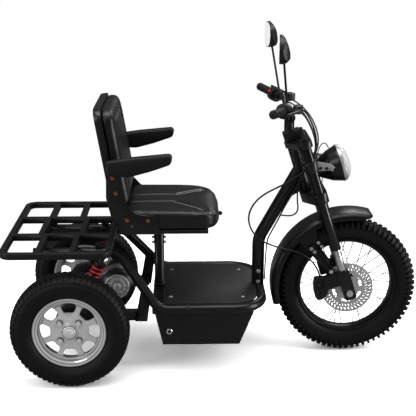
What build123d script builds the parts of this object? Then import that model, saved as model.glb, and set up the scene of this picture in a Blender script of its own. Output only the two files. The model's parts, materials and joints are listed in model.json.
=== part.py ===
from build123d import *
import os
from math import cos, pi, radians, sin, tan

# Electric tricycle: two driven rear wheels, one steered front wheel, a seat and a rear rack.
# Millimetres. X runs forward from the rear axle, Y to the rider's left, Z up from the floor.

# Stance and fits
WHEELBASE = 1096.0
RAKE = 18.0                  # backward lean of the steering axis, degrees
STEER_OFFSET = 40.0          # fork legs ahead of the steering axis
FIT = 0.2                    # gap between fixed round pieces that hold each other
SEAT_GAP = 0.3               # gap between flat pieces that rest on each other
RUN = 0.08                   # radial running clearance on pivots
CUT_PAST = 1.0               # how far a cut runs past the face it opens

# Rear wheels
REAR_TYRE_D = 455.0
REAR_TYRE_W = 105.0
REAR_RIM_D = 280.0           # over the rim's flanges
REAR_RIM_W = 72.0
REAR_FLANGE_H = 13.0         # flange above the tyre's bead seat
REAR_BARREL_T = 9.0
REAR_LIP_T = 4.0
REAR_DROP_W = 10.0           # slope between the lip and the barrel
REAR_FACE_IN = 8.0           # wheel face, inner side, outboard of the mid plane
REAR_FACE_T = 12.0
REAR_FACE_DISH = 4.0         # thinner by this much at the barrel
REAR_DISH_R = 76.0
REAR_WINDOWS = 8
REAR_WINDOW_H = 41.0
REAR_WINDOW_LAND = 4.0       # metal left between a window and the barrel
REAR_WINDOW_R = 14.0
REAR_SPOKE_W = 20.0
REAR_BORE_GAP = 2.0
HUB_BOLT_PCD = 100.0
HUB_BOLTS = 4
HUB_NUT_AF = 19.0
HUB_NUT_H = 13.0
DRUM_R = 66.0
DRUM_W = 36.0
DRUM_WALL = 6.0
DRUM_GAP = 2.0               # between the drum and its backing plate
HUB_R = 46.0
STUB_D = 25.0
STUB_SHORT = 6.0             # stub's end short of the wheel face
# Tyre wall: in from the tyre's side, share of the wall's height above the flange
REAR_TYRE_ROWS = [(6.0, 0.16), (0.0, 0.48), (3.0, 0.77), (16.0, 0.943), (34.0, 1.0)]
BEAD_IN = 8.0                # bead's inner edge, in from the rim's side
BEAD_OUT = 5.0
BEAD_RISE = 2.0
# Hub cap: height off the face, radius
CAP_ROWS = [(0.0, 31.0), (9.0, 31.0), (11.0, 24.0), (17.0, 23.0), (18.0, 15.0), (25.0, 14.0)]

# Front wheel
FRONT_TYRE_D = 572.8         # over the knobs' tips
FRONT_TYRE_W = 95.0
KNOB_H = 12.0
KNOB_L = 24.0                # along the tread
KNOB_IN_Y = 13.0
KNOB_CHAMFER = 9.0
KNOB_ROOT = 15.0             # how deep a knob's foot runs into the carcass
KNOBS = 32                   # in each of the two rows
FRONT_RIM_R = 201.0          # over the rim's flanges
FRONT_RIM_H = 15.0
FRONT_RIM_WELL = 7.0
FRONT_RIM_W = 58.0
FRONT_RIM_T = 4.0
FRONT_RIM_FLOOR = 18.0       # half width of the rim's inner face
FRONT_HUB_R = 24.0
FRONT_FLANGE_R = 44.0
FRONT_FLANGE_Y = 31.0
FRONT_FLANGE_T = 5.0
FRONT_AXLE_D = 15.0
HUB_NECK = 3.0               # hub's ends smaller than its barrel
HUB_END = 19.0               # hub's end beyond the flange
SPACER_GAP = 1.0
SPOKES = 36
SPOKE_D = 3.2
SPOKE_GAP = 0.5
SPOKE_RIM_Y = 7.0
SPOKE_TURN = 38.0            # degrees that a spoke leads or trails its hub hole
DISC_R = 105.0
DISC_IN_R = 66.0
DISC_T = 4.0
DISC_Y = -50.0
DISC_ARMS = 5
DISC_ARM_W = 18.0
DISC_ARM_LAP = 2.0
DISC_SLOTS = 20
DISC_SLOT_W = 5.0
DISC_SLOT_L = 13.0
DISC_SLOT_EDGE = 7.0
CARRIER_R = 36.0
CARRIER_GAP = 1.5
# Carcass wall: in from the tyre's side, share of the wall's height above the flange
FRONT_TYRE_ROWS = [(10.0, 0.19), (5.0, 0.48), (2.0, 0.7), (10.0, 0.9), (26.0, 1.0)]
FRONT_BEAD_RISE = 0.5
FRONT_BEAD_OUT = 4.5

# Frame tubes
TUBE_D = 38.0
DECK_TUBE_Y = 240.0
DECK_TUBE_Z = 278.0
LOOP_GAP = 67.6              # loop's front tube behind the front tyre
RISER_FOOT_X = 335.0
RISER_TOP_X = 178.0
RAIL_OVER = 27.0             # rails above the rear tyres' tops
RAIL_REAR_X = -150.0
DECK_BEND_R = 120.0
RISER_BEND_R = 75.0
CROSS_D = 30.0
RAIL_CROSS_X = (-132.0, 128.0)
SEAT_BEAM_W = 46.0
SEAT_BEAM_H = 38.0
COLUMN_D = 50.0
COLUMN_BACK = 7.0            # column's foot behind the loop's front tube
COLUMN_BEND_Z = 486.0
COLUMN_BEND_R = 110.0
HEAD_D = 47.0
HEAD_L = 184.0
STEM_D = 30.0
GUSSET_T = 8.0
GUSSET_SHARES = (0.5, 0.75)  # where the gusset meets the column's upper run
GUSSET_LIFT = 4.0

# Deck and battery box
DECK_TOP_Z = 294.0
DECK_T = 7.0
DECK_GAP = 0.5
BOX_HALF_W = 200.0
BOX_WALL = 3.0
BOX_BOTTOM_Z = 110.0
BOX_WAIST_Z = 245.0
BOX_REAR_BACK = 15.0         # box's rear top corner behind the seat post
BOX_REAR_RAKE = 30.0
BOX_FRONT_BACK = 36.0        # box's front top corner behind the loop's front
BOX_FRONT_RAKE = 55.0
BOX_LIP_W = 34.0
BOX_LIP_T = 5.0
BOX_LIP_IN = 24.0            # lip's front end behind the box's front
NECK_SHARE = 0.6             # raised rim under the deck, share of the box's width
PACK_MARGIN = 30.0
PACK_END_MARGIN = 25.0
LOCK_D = 26.0
LOCK_X = 374.0
LOCK_Z = 169.0
LOCK_H = 7.0
LOCK_EDGE = 2.0
LOCK_CORE_DROP = 3.0

# Rack
RACK_REAR_X = -250.0
RACK_FRONT_X = 164.0
RACK_HALF_W = 338.0
RACK_OVER = 63.0             # rack's top above the rails
RACK_BAR_W = 21.0
RACK_BAR_H = 25.0
RACK_CORNER_R = 48.0
RACK_LONG_BAR_Y = 110.0
RACK_POST_X = (-110.0, 105.0)
RACK_POST_W = 26.0
RACK_FOOT_T = 4.0
# Cross bars: low Y, high Y, X of the bars' middles
RACK_ROWS = [
    (-RACK_HALF_W, -RACK_LONG_BAR_Y, (-106.0, 20.0)),
    (-RACK_LONG_BAR_Y, RACK_LONG_BAR_Y, (-124.0, 36.0)),
    (RACK_LONG_BAR_Y, RACK_HALF_W, (-112.0, 14.0)),
]

# Seat
SEAT_X = 333.0               # post
POST_D = 40.0
POST_FOOT_W = 90.0
POST_FOOT_T = 8.0
PLATE_OVER = 67.0            # post's top above the rails
PLATE_HALF_L = 95.0
PLATE_T = 8.0
SLIDE_H = 17.0
SLIDE_W = 34.0
SLIDE_Y = 110.0
SLIDE_BACK = 147.0
SLIDE_FRONT = 170.0
PAN_T = 13.0
PAN_BACK = 143.0
PAN_FRONT = 195.0
SEAT_HALF_W = 205.0
CUSHION_H = 74.0
CUSHION_BACK = 129.0
CUSHION_FRONT = 247.0
CUSHION_EDGE_R = 24.0
CUSHION_NOSE_L = 148.0       # length of the rounded front in plan
# Cushion's nose: in from the front, share of the height
NOSE_ROWS = [(46.0, 0.0), (42.0, -0.26), (10.0, -0.22), (0.0, 0.2), (6.0, 0.55), (22.0, 0.85), (60.0, 1.0)]
BACK_FOOT_X = 176.0
BACK_FOOT_OVER = 51.0        # shell's foot above the post's top
BACK_LEAN = 9.3
BACK_SHELL_T = 26.0
BACK_SHELL_H = 455.0
BACK_PAD_T = 47.0
BACK_PAD_LOW = 76.0
BACK_PAD_UNDER = 6.0         # pad's top below the shell's
BACK_PAD_IN = 4.0
BACK_PAD_EDGE_R = 38.0
BACK_OUT = 2.0               # shell's side beyond the cushion's
BACK_CORNER_R = 50.0
PLATE_SIDE_T = 5.0
ARM_PIVOT_AHEAD = 2.0        # armrest's pin ahead of the shell's foot
ARM_PIVOT_UP = 240.0
ARM_PIN_D = 16.0
ARM_PIN_IN = 22.0            # pin's length inside the armrest
ARM_GAP = 6.0
ARM_W = 40.0
ARM_EDGE_R = 8.0
# Side plate above the pan: ahead of the pin, above the pin
SIDE_PLATE_ROWS = [(-16.0, -200.0), (-34.0, -120.0), (-30.0, 22.0), (22.0, 22.0), (26.0, -80.0),
                   (44.0, -150.0), (76.0, -185.0), (160.0, -200.0)]
SIDE_PLATE_FOOT = (25.0, 166.0)
# Armrest: ahead of the pin, above the pin
ARMREST_ROWS = [(-28.0, 30.0), (70.0, 44.0), (208.0, 57.0), (219.0, 42.0), (212.0, 12.0), (134.0, -14.0),
                (58.0, -34.0), (-20.0, -30.0)]

# Rear suspension and drive
PIVOT_X = 263.0
PIVOT_Z = 235.0
ARM_IN = 58.0                # swing arms inboard of the deck tubes
ARM_BOX_W = 32.0
ARM_BOX_H = 44.0
ARM_TIP_H = 36.0
ARM_TIP_L = 20.0
ARM_TAIL_L = 8.0
ARM_BOSS_T = 10.0
PIVOT_BOLT_D = 16.0
PIVOT_BOLT_OUT = 6.0
PIVOT_BOLT_IN = 8.0
HANGER_T = 6.0
# Hanger plate: ahead of the pivot, above the pivot
HANGER_ROWS = [(-22.0, -22.0), (26.0, -22.0), (44.0, 103.0), (8.0, 137.0)]
AXLE_TUBE_D = 56.0
BACKING_OUT = 26.0           # backing plates outboard of the swing arms
BACKING_T = 6.0
TYRE_CLEAR = 36.5            # rear tyres outboard of the backing plates
RAIL_IN = 34.0               # rails inboard of the swing arms
SHOCK_LOW_X = 22.0
SHOCK_LIFT = 62.5            # shock's lower eye above the axle
SHOCK_TOP_X = 130.0
SHOCK_EYE_D = 26.0
SHOCK_EYE_W = 20.0
SHOCK_BOLT_D = 12.0
SHOCK_BOLT_OUT = 11.0
SHOCK_NECK_D = 16.0
SHOCK_ROD_D = 18.0
EAR_T = 6.0
EAR_GAP = 1.0
EAR_HALF_L = 16.0
EAR_OVER = 14.0
EAR_ROOT = 10.0
SPRING_D = 50.0
SPRING_WIRE = 9.0
SPRING_LEN = 132.0
SPRING_COILS = 7
SPRING_TOP_GAP = 44.0        # spring's end below the upper eye
SPRING_CREST = 0.4           # share of the pitch that a coil's crest is flat
CUP_T = 6.0
CUP_TAPER = 4.0
DAMPER_D = 30.0
MOTOR_X = 165.0
MOTOR_LIFT = 87.5            # motor's axis above the rear axle
MOTOR_R = 62.0
MOTOR_HALF_L = 88.0
MOTOR_EDGE_R = 14.0
MOTOR_EDGE_L = 12.0
MOTOR_NECK = 22.0            # motor's waist inside the case, smaller by this
CASE_HALF_W = 40.0
CASE_R = 82.0
CASE_NOSE_IN = 8.0

# Fork and front end; heights run along the steering axis above the front axle
LEG_Y = 90.0
LEG_D = 42.0
LEG_LOW = 188.0
LEG_OVER = 14.0              # legs' tops above the upper yoke
SLIDER_D = 32.0
SLIDER_LOW = 78.0
SLIDER_IN = 59.0             # slider's length inside the leg
CASTING_HIGH = 96.0
CASTING_LOW = 30.0
CASTING_HALF_L = 24.0
CASTING_W = 40.0
CASTING_EDGE_R = 10.0
LUG_BACK = 84.0
LUG_LOW = 34.0
LUG_TOP_IN = 8.0
LUG_OUT = 4.0
AXLE_NUT_R = 13.0
AXLE_NUT_T = 11.0
YOKE_CLEAR = 105.6           # lower yoke's underside above the tyre
YOKE_LOW_T = 42.0
YOKE_TOP_T = 24.0
YOKE_GAP = 3.0
YOKE_EAR_R = 30.0
STEM_OVER = 6.0
FENDER_CLEAR = 26.6          # fender's outside beyond the tyre's tips
FENDER_T = 4.0
FENDER_HALF_W = 64.0
FENDER_SKIRT = 30.0
FENDER_EDGE = (14.0, 12.0)   # bevel between crown and skirt, across and down
FENDER_LIFT = 6.0            # fender's centre above the axle
FENDER_AHEAD = 4.0
FENDER_FRONT = 74.0          # degrees about the fender's centre, from straight ahead
FENDER_REAR = 194.0
# Rounded lower corner of the skirt's front end: in from the fender's outside, degrees past the front
FENDER_TIP_ROWS = [(5.0, 0.0), (11.0, 1.2), (18.0, 3.6), (24.0, 7.0), (28.0, 10.5), (30.0, 13.0)]
# Flap under the skirt: in from the fender's outside, degrees
FLAP_ROWS = [(20.0, 136.0), (10.0, 117.0), (74.0, 125.0), (83.0, 138.0)]
# Strap's upper end: in from the fender's outside, degrees; lower end: along and up the casting
STRAP_TOP_ROWS = [(70.0, 136.0), (73.0, 128.5)]
STRAP_FOOT_ROWS = [(-16.0, 60.0), (-49.0, 49.0)]
CALIPER_IN = 1.0             # caliper's middle inside the disc's rim
CALIPER_DROP = 2.4
CALIPER_LENGTHS = (26.0, 30.0)
CALIPER_HEIGHTS = (44.0, 46.0)
CALIPER_BACK_T = 9.0
CALIPER_EDGE_R = 10.0
CALIPER_GAP = 5.0            # beside the disc
CALIPER_ROOM = 4.0           # round the disc's rim
CALIPER_ARM = ((-112.0, -58.0), (24.0, 52.0))
CALIPER_ARM_T = 8.0

# Handlebar: places ahead of the steering axis and above the upper yoke
BAR_D = 22.0
BAR_CLAMP = (20.0, 93.0)
BAR_RISE = (26.0, 112.0, 143.7)
BAR_END = (-47.1, 308.0, 184.3)
BAR_FLAT_Y = 48.0
BAR_BEND_R = 34.0
RISER_D = 40.0
RISER_BASE = (66.0, 62.0, 36.0)
RISER_BASE_AHEAD = 8.0
RISER_SINK = 6.0
CLAMP_HALF_W = 36.0
CLAMP_T = 9.0
GRIP_D = 33.0
GRIP_L = 118.0
GRIP_OVER = 2.0
POD_L = 34.0
POD_D = 58.0
PERCH_L = 26.0
PERCH_D = 34.0
LEVER_D = 11.0
LEVER_REACH = 52.0
LEVER_SHORT = 6.0            # lever's tip short of the grip's end
PUMP_D = 20.0
PUMP_AHEAD = 34.0
PUMP_L = 52.0
TANK_L = 40.0
TANK_W = 28.0
TANK_H = 30.0
TANK_LIFT = 2.0
MIRROR_STEM_D = 9.0
MIRROR_STEM_IN = 6.0         # stem's foot inboard of the perch's middle
MIRROR_OUT = 94.5            # mirror's middle from the lever perch
MIRROR_BACK = 42.0
MIRROR_UP = 236.0
MIRROR_W = 122.0
MIRROR_H = 104.0
MIRROR_T = 42.0
MIRROR_GLASS_T = 3.0
MIRROR_RIM = 4.0
MIRROR_YAW = 6.0
MIRROR_STEM_DEPTH = 16.0
MIRROR_EDGE_R = 3.0
# Mirror's side outline: share of the height above its middle, share of the depth
MIRROR_ROWS = [(0.55, -0.1), (0.55, 0.18), (0.36, 0.48), (0.1, 0.78), (-0.2, 1.0), (-0.3, 0.96), (-0.47, 0.5),
               (-0.55, 0.1), (-0.55, -0.1)]
# Mirror's plan outline: share of the width from its middle, share of the depth
MIRROR_PLAN = [(-0.55, -0.1), (-0.52, 0.3), (-0.36, 0.7), (-0.16, 0.95), (0.16, 0.95), (0.36, 0.7),
               (0.52, 0.3), (0.55, -0.1)]

# Headlamp, ahead of the steering axis and above the steering head's foot
LAMP_AHEAD = 155.0
LAMP_OVER = 62.5
LAMP_NOD = 1.0               # degrees below square to the fork
LAMP_R = 76.0
LAMP_DEPTH = 94.0
LAMP_BACK_R = 34.0
LAMP_BACK_EDGE = (6.0, 8.0)
LAMP_WAIST = (0.45, 0.8)     # share of the depth and of the radius
LAMP_MOUTH_IN = 2.0
LAMP_RING_W = 15.0
LAMP_RING_T = 8.0
LAMP_RING_TAPER = 4.0
LAMP_DOME = 26.0
LAMP_DOME_STEP = 15          # degrees
LAMP_BRACKET_Y = 78.0
LAMP_BRACKET_T = 4.0
BRACKET_RING_H = 44.0
BRACKET_RING_T = 6.0
BRACKET_LIFT = 8.0
BRACKET_STUD_D = 14.0
BRACKET_STUD_BACK = 42.0     # stud behind the lamp's mouth
# Bracket's nose: behind the lamp's mouth, above the lamp's middle
BRACKET_ROWS = [(44.0, 16.0), (28.0, 2.0), (44.0, -10.0)]
BRACKET_FOOT = (6.0, 8.0)

# Cables: diameter and route
HOSE_D = 7.0
CABLE_D = 6.0
LEAD_D = 4.0
CORD_SHARE = 0.45            # share of the shorter run that an arc takes
HOSE_UPPER_ROUTE = [
    (871.6, -119.9, 1034.6), (884.0, -94.0, 1030.0), (903.0, -69.0, 1014.0), (922.0, -54.0, 984.0),
    (940.0, -48.0, 946.0), (950.0, -46.0, 905.0), (951.0, -46.0, 862.0), (939.0, -46.0, 820.0),
    (914.0, -46.0, 784.0), (878.0, -46.0, 752.0), (837.0, -44.0, 726.0), (795.0, -41.0, 704.0),
    (755.0, -40.0, 683.0), (720.0, -40.0, 654.0), (697.0, -40.0, 617.0), (690.0, -39.0, 577.0),
    (700.0, -36.0, 538.0), (720.0, -32.0, 506.0), (748.0, -29.5, 482.0)]
HOSE_LOWER_ROUTE = [
    (749.6, -29.8, 480.9), (783.0, -38.0, 467.0), (819.0, -60.0, 463.0), (858.0, -78.0, 459.0),
    (898.0, -84.0, 448.0), (930.0, -83.0, 428.0), (952.0, -77.0, 402.0), (967.0, -66.0, 378.0),
    (977.0, -57.0, 355.0), (984.8, -54.0, 330.8)]
COLUMN_CABLE_ROUTES = [
    [(833.1, -147.3, 1026.3), (848.0, -114.0, 1024.0), (872.0, -80.0, 1018.0), (896.0, -52.0, 1003.0),
     (916.0, -38.0, 974.0), (934.0, -32.0, 938.0), (947.0, -30.0, 900.0), (951.0, -32.0, 862.0),
     (941.0, -35.0, 826.0), (921.0, -37.0, 794.0), (900.0, -37.0, 756.0), (880.0, -34.0, 706.0),
     (850.0, -27.0, 652.0), (830.0, -21.0, 612.0), (812.0, -12.0, 566.0), (784.0, -3.0, 507.0),
     (765.0, 0.0, 462.0), (763.4, 0.0, 305.0)],
    [(838.7, 148.7, 1039.1), (853.0, 115.0, 1037.0), (878.0, 82.0, 1030.0), (908.0, 46.0, 1011.0),
     (934.0, 18.0, 981.0), (953.0, -2.0, 943.0), (963.0, -14.0, 903.0), (960.0, -21.0, 862.0),
     (944.0, -25.0, 824.0), (917.0, -27.0, 790.0), (895.0, -28.0, 757.0), (890.0, -29.0, 722.0),
     (884.0, -32.0, 686.0), (885.0, -31.0, 650.0), (890.0, -26.0, 617.0), (884.0, -20.0, 595.0),
     (866.0, -14.0, 583.0), (842.0, -6.0, 581.0), (818.3, 0.0, 582.0)],
]
CONTROL_CABLE_ROUTE = [
    (833.1, 147.3, 1026.3), (848.0, 114.0, 1024.0), (874.0, 78.0, 1016.0), (902.0, 45.0, 998.0),
    (924.0, 31.0, 967.0), (943.0, 27.0, 930.0), (958.0, 25.0, 892.0), (962.0, 24.0, 855.0),
    (957.0, 23.0, 820.0), (946.0, 22.0, 786.0), (944.0, 22.0, 754.0), (954.4, 22.0, 728.7),
    (963.6, 22.0, 700.4)]
LAMP_LEAD_ROUTES = [
    [(1007.2, 8.0, 855.2), (1001.0, 9.0, 869.0), (989.0, 10.0, 877.0), (976.0, 11.0, 868.0),
     (968.0, 11.0, 848.0), (962.0, 11.0, 824.0), (953.0, 10.0, 803.0), (946.0, 10.0, 780.0)],
    [(985.7, 0.0, 736.2), (987.0, 1.0, 722.0), (981.0, 2.0, 712.0), (970.0, 4.0, 713.0), (959.0, 7.0, 724.0),
     (950.0, 10.0, 740.0)],
]

# Places worked out from the sizes above
REAR_R = REAR_TYRE_D / 2
FRONT_R = FRONT_TYRE_D / 2
FRONT_AXLE = Pos(WHEELBASE, 0, FRONT_R)
FORK = FRONT_AXLE * Rot(0, -RAKE, 0)
STEER = FORK * Pos(-STEER_OFFSET, 0, 0)
SWING_Y = DECK_TUBE_Y - ARM_IN
RAIL_Y = SWING_Y - RAIL_IN
BACKING_Y = SWING_Y + BACKING_OUT
WHEEL_Y = BACKING_Y + BACKING_T + TYRE_CLEAR + REAR_TYRE_W / 2
RAIL_Z = REAR_TYRE_D + RAIL_OVER
RACK_TOP_Z = RAIL_Z + RACK_OVER
PLATE_Z = RAIL_Z + PLATE_OVER
BACK_FOOT_Z = PLATE_Z + BACK_FOOT_OVER
BACK_HALF_W = SEAT_HALF_W + BACK_OUT
ARM_PIVOT_X = BACK_FOOT_X + ARM_PIVOT_AHEAD
ARM_PIVOT_Z = BACK_FOOT_Z + ARM_PIVOT_UP
LOOP_FRONT_X = WHEELBASE - FRONT_R - LOOP_GAP
COLUMN_X = LOOP_FRONT_X - COLUMN_BACK
YOKE_LOW = (FRONT_R + YOKE_CLEAR, FRONT_R + YOKE_CLEAR + YOKE_LOW_T)
HEAD_LOW = YOKE_LOW[1] + YOKE_GAP
HEAD_HIGH = HEAD_LOW + HEAD_L
YOKE_TOP = (HEAD_HIGH + YOKE_GAP, HEAD_HIGH + YOKE_GAP + YOKE_TOP_T)
LEG_HIGH = YOKE_TOP[1] + LEG_OVER
CASTING_IN_Y = LEG_Y - CASTING_W / 2
SHOCK_LOW_Z = REAR_R + SHOCK_LIFT
MOTOR_Z = REAR_R + MOTOR_LIFT
FENDER_R = FRONT_R + FENDER_CLEAR
FENDER_MIDDLE = FRONT_AXLE * Pos(FENDER_AHEAD, 0, FENDER_LIFT)
STAND = (Align.CENTER, Align.CENTER, Align.MIN)


def steer_point(x, y, z):
    """World point of a place in the steering head's own frame."""
    return (STEER * Pos(x, y, z)).position


def bar_point(x, y, z):
    """World point of a place ahead of the steering axis and above the upper yoke."""
    return tuple(steer_point(x, y, YOKE_TOP[1] + z))


def rod(start, end, diameter):
    """Straight round bar between two points."""
    first, last = Vector(*start), Vector(*end)
    run = last - first
    return extrude(Plane(origin=first, z_dir=run) * Circle(diameter / 2), run.length)


def across(x, z, y_low, y_high, diameter):
    """Round bar along Y."""
    return rod((x, y_low, z), (x, y_high, z), diameter)


def bent_tube(points, diameter, radii):
    """Round bar along straight runs joined by tangent arcs."""
    path = FilletPolyline(*points, radius=radii)
    return sweep(Plane(origin=path @ 0, z_dir=path % 0) * Circle(diameter / 2), path=path)


def cord(points, diameter):
    """Cable along a route, with each arc as large as its two runs allow."""
    places = [Vector(*point) for point in points]
    radii = []
    for before, here, after in zip(places, places[1:], places[2:]):
        turn = radians((here - before).get_angle(after - here))
        shorter = min((here - before).length, (after - here).length)
        radii.append(CORD_SHARE * shorter / tan(turn / 2))
    path = FilletPolyline(*points, radius=radii)
    tube = sweep(Plane(origin=path @ 0, z_dir=path % 0) * Circle(diameter / 2), path=path)
    share = tube.volume / (path.length * pi * diameter ** 2 / 4)
    print(f"cable {path.length:.0f} long, smallest radius {min(radii):.0f}, volume share {share:.4f}")
    return tube


def side_slab(points, y_low, y_high):
    """Slab between two Y planes whose side outline is given in X and Z."""
    face = Plane.XZ.offset(-y_high) * Polygon(*points, align=None)
    return extrude(face, y_high - y_low, dir=(0, -1, 0))


def turned(points):
    """Body of revolution about Y from points of (place along the axis, radius)."""
    return revolve(Plane.YZ * Polygon(*points, align=None), Axis.Y)


def mirrored_rows(rows):
    """Section rows followed by their mirror image across the wheel's mid plane."""
    return rows + [(-y, r) for y, r in reversed(rows)]


def block(x, y, z):
    """Box between the low and high value of each axis."""
    size = [high - low for low, high in (x, y, z)]
    middle = [(high + low) / 2 for low, high in (x, y, z)]
    return Pos(*middle) * Box(*size)


def both_sides(shape):
    """The right-hand shape with its mirror image on the left."""
    return [shape, mirror(shape, about=Plane.XZ)]


def largest(shape):
    """The biggest solid of a shape."""
    return max(shape.solids(), key=lambda solid: solid.volume)


def along(start, end, distance):
    """Point on the line from start to end at a distance from start."""
    first, last = Vector(*start), Vector(*end)
    return first + (last - first).normalized() * distance


def from_pin(rows):
    """X and Z of places given from the armrest's pin."""
    return [(ARM_PIVOT_X + ahead, ARM_PIVOT_Z + up) for ahead, up in rows]


def fender_place(inward, turn):
    """X and Z of a place in from the fender's outside at a turn about its centre."""
    radius = FENDER_R - inward
    middle = FENDER_MIDDLE.position
    return (middle.X + radius * cos(radians(turn)), middle.Z + radius * sin(radians(turn)))


nodes = {}

# Frame loop: one bent tube from the left rail round the deck to the right rail
loop_half = [
    (RAIL_REAR_X, -RAIL_Y, RAIL_Z),
    (RISER_TOP_X, -RAIL_Y, RAIL_Z),
    (RISER_FOOT_X, -DECK_TUBE_Y, DECK_TUBE_Z),
    (LOOP_FRONT_X, -DECK_TUBE_Y, DECK_TUBE_Z),
]
loop_points = loop_half + [(x, -y, z) for x, y, z in reversed(loop_half)]
loop_radii = [RISER_BEND_R, RISER_BEND_R, DECK_BEND_R]
loop = bent_tube(loop_points, TUBE_D, loop_radii + loop_radii[::-1])
nodes["frame_loop"] = loop

# Cross tubes between the rails and the beam that carries the seat post
cross = [across(x, RAIL_Z, -RAIL_Y, RAIL_Y, CROSS_D) - loop for x in RAIL_CROSS_X]
beam_x = (SEAT_X - SEAT_BEAM_W / 2, SEAT_X + SEAT_BEAM_W / 2)
beam_z = (DECK_TUBE_Z - SEAT_BEAM_H / 2, DECK_TUBE_Z + SEAT_BEAM_H / 2)
beam = block(beam_x, (-DECK_TUBE_Y, DECK_TUBE_Y), beam_z) - loop
nodes["frame_crossmembers"] = Part() + cross + largest(beam)

# Column: coped onto the loop's front, bent forward to the steering head
head_middle = steer_point(0, 0, (HEAD_LOW + HEAD_HIGH) / 2)
column_path = [(COLUMN_X, 0, DECK_TUBE_Z), (COLUMN_X, 0, COLUMN_BEND_Z), tuple(head_middle)]
column = bent_tube(column_path, COLUMN_D, [COLUMN_BEND_R])
head_bore = STEER * Pos(0, 0, HEAD_LOW - COLUMN_D) * Cylinder(
    STEM_D / 2 + RUN, HEAD_L + 2 * COLUMN_D, align=STAND)
head = STEER * Pos(0, 0, HEAD_LOW) * Cylinder(HEAD_D / 2, HEAD_L, align=STAND)
head_foot = steer_point(-HEAD_D / 4, 0, HEAD_LOW + GUSSET_LIFT)
upper_run = (head_middle - Vector(*column_path[1])).length
gusset_low, gusset_top = [along(column_path[1], column_path[2], share * upper_run) for share in GUSSET_SHARES]
gusset = side_slab(
    [(place.X, place.Z) for place in (gusset_low, head_foot, head_middle, gusset_top)], -GUSSET_T / 2,
    GUSSET_T / 2)
nodes["steering_column"] = largest(column + head + gusset - head_bore - loop)

# Deck plate inside the loop, notched round the column
deck_edge = DECK_TUBE_Y - TUBE_D / 2 - DECK_GAP
deck_front = LOOP_FRONT_X - TUBE_D / 2 - DECK_GAP
deck_rear = beam_x[1] + SEAT_GAP
deck_z = (DECK_TOP_Z - DECK_T, DECK_TOP_Z)
deck = block((deck_rear, deck_front), (-deck_edge, deck_edge), deck_z)
deck_corners = deck.edges().filter_by(Axis.Z).group_by(Axis.X)[-1]
deck = fillet(deck_corners, DECK_BEND_R - TUBE_D / 2)
deck = deck - Pos(COLUMN_X, 0, deck_z[0]) * Cylinder(COLUMN_D / 2 + SEAT_GAP, 2 * DECK_T)
nodes["footboard"] = deck

# Battery box: a tray under the tubes with lips at its sides and a raised rim under the deck
box_top = min(DECK_TUBE_Z - TUBE_D / 2, beam_z[0]) - SEAT_GAP
box_rear = SEAT_X - BOX_REAR_BACK
box_front = LOOP_FRONT_X - BOX_FRONT_BACK
box_outline = [
    (box_rear, box_top), (box_front, box_top), (box_front, BOX_WAIST_Z),
    (box_front - BOX_FRONT_RAKE, BOX_BOTTOM_Z),
    (box_rear + BOX_REAR_RAKE, BOX_BOTTOM_Z), (box_rear, BOX_WAIST_Z)]
box_face = Plane.XZ * Polygon(*box_outline, align=None)
tray = extrude(box_face, BOX_HALF_W, both=True)
hollow = extrude(offset(box_face, -BOX_WALL, kind=Kind.INTERSECTION), BOX_HALF_W - BOX_WALL, both=True)
neck_x = (deck_rear + BOX_WALL, LOOP_FRONT_X - DECK_BEND_R)
neck_half = NECK_SHARE * BOX_HALF_W
neck_top = deck_z[0] - SEAT_GAP
neck = block(neck_x, (-neck_half, neck_half), (box_top - BOX_WALL, neck_top))
mouth = block((neck_x[0] + BOX_WALL, neck_x[1] - BOX_WALL), (-neck_half + BOX_WALL, neck_half - BOX_WALL),
              (box_top - 2 * BOX_WALL, neck_top + CUT_PAST))
lip = block((box_rear, box_front - BOX_LIP_IN), (-BOX_HALF_W - BOX_LIP_W, -BOX_HALF_W),
            (box_top - BOX_LIP_T, box_top))
nodes["battery_box"] = tray + neck - hollow - mouth + both_sides(lip)
nodes["battery_pack"] = block(
    (box_rear + BOX_REAR_RAKE + PACK_END_MARGIN, box_front - BOX_FRONT_RAKE - PACK_END_MARGIN),
    (-BOX_HALF_W + PACK_MARGIN, BOX_HALF_W - PACK_MARGIN), (BOX_BOTTOM_Z + BOX_WALL + SEAT_GAP, BOX_WAIST_Z))
lock_back = -BOX_HALF_W - SEAT_GAP
lock_face = lock_back - LOCK_H
nodes["box_lock"] = Pos(LOCK_X, 0, LOCK_Z) * turned([
    (lock_back, 0), (lock_back, LOCK_D / 2), (lock_face + LOCK_EDGE, LOCK_D / 2),
    (lock_face, LOCK_D / 2 - LOCK_EDGE),
    (lock_face, LOCK_D / 4), (lock_face + LOCK_CORE_DROP, LOCK_D / 4), (lock_face + LOCK_CORE_DROP, 0)])

# Rack: a flat frame of rectangular tube on four posts
rack_z = (RACK_TOP_Z - RACK_BAR_H, RACK_TOP_Z)
rack_outer = block((RACK_REAR_X, RACK_FRONT_X), (-RACK_HALF_W, RACK_HALF_W), rack_z)
rack_outer = fillet(rack_outer.edges().filter_by(Axis.Z), RACK_CORNER_R)
rack_inner = block((RACK_REAR_X + RACK_BAR_W, RACK_FRONT_X - RACK_BAR_W),
                   (-RACK_HALF_W + RACK_BAR_W, RACK_HALF_W - RACK_BAR_W), rack_z)
rack_inner = fillet(rack_inner.edges().filter_by(Axis.Z), RACK_CORNER_R - RACK_BAR_W)
bars = [block((RACK_REAR_X, RACK_FRONT_X), (y - RACK_BAR_W / 2, y + RACK_BAR_W / 2), rack_z)
        for y in (-RACK_LONG_BAR_Y, RACK_LONG_BAR_Y)]
for low_y, high_y, bar_xs in RACK_ROWS:
    bars += [block((x - RACK_BAR_W / 2, x + RACK_BAR_W / 2), (low_y, high_y), rack_z) for x in bar_xs]
nodes["rear_rack"] = rack_outer - rack_inner + bars
posts = []
post_y = (-RAIL_Y - RACK_POST_W / 2, -RAIL_Y + RACK_POST_W / 2)
post_top = rack_z[0] - SEAT_GAP
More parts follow.
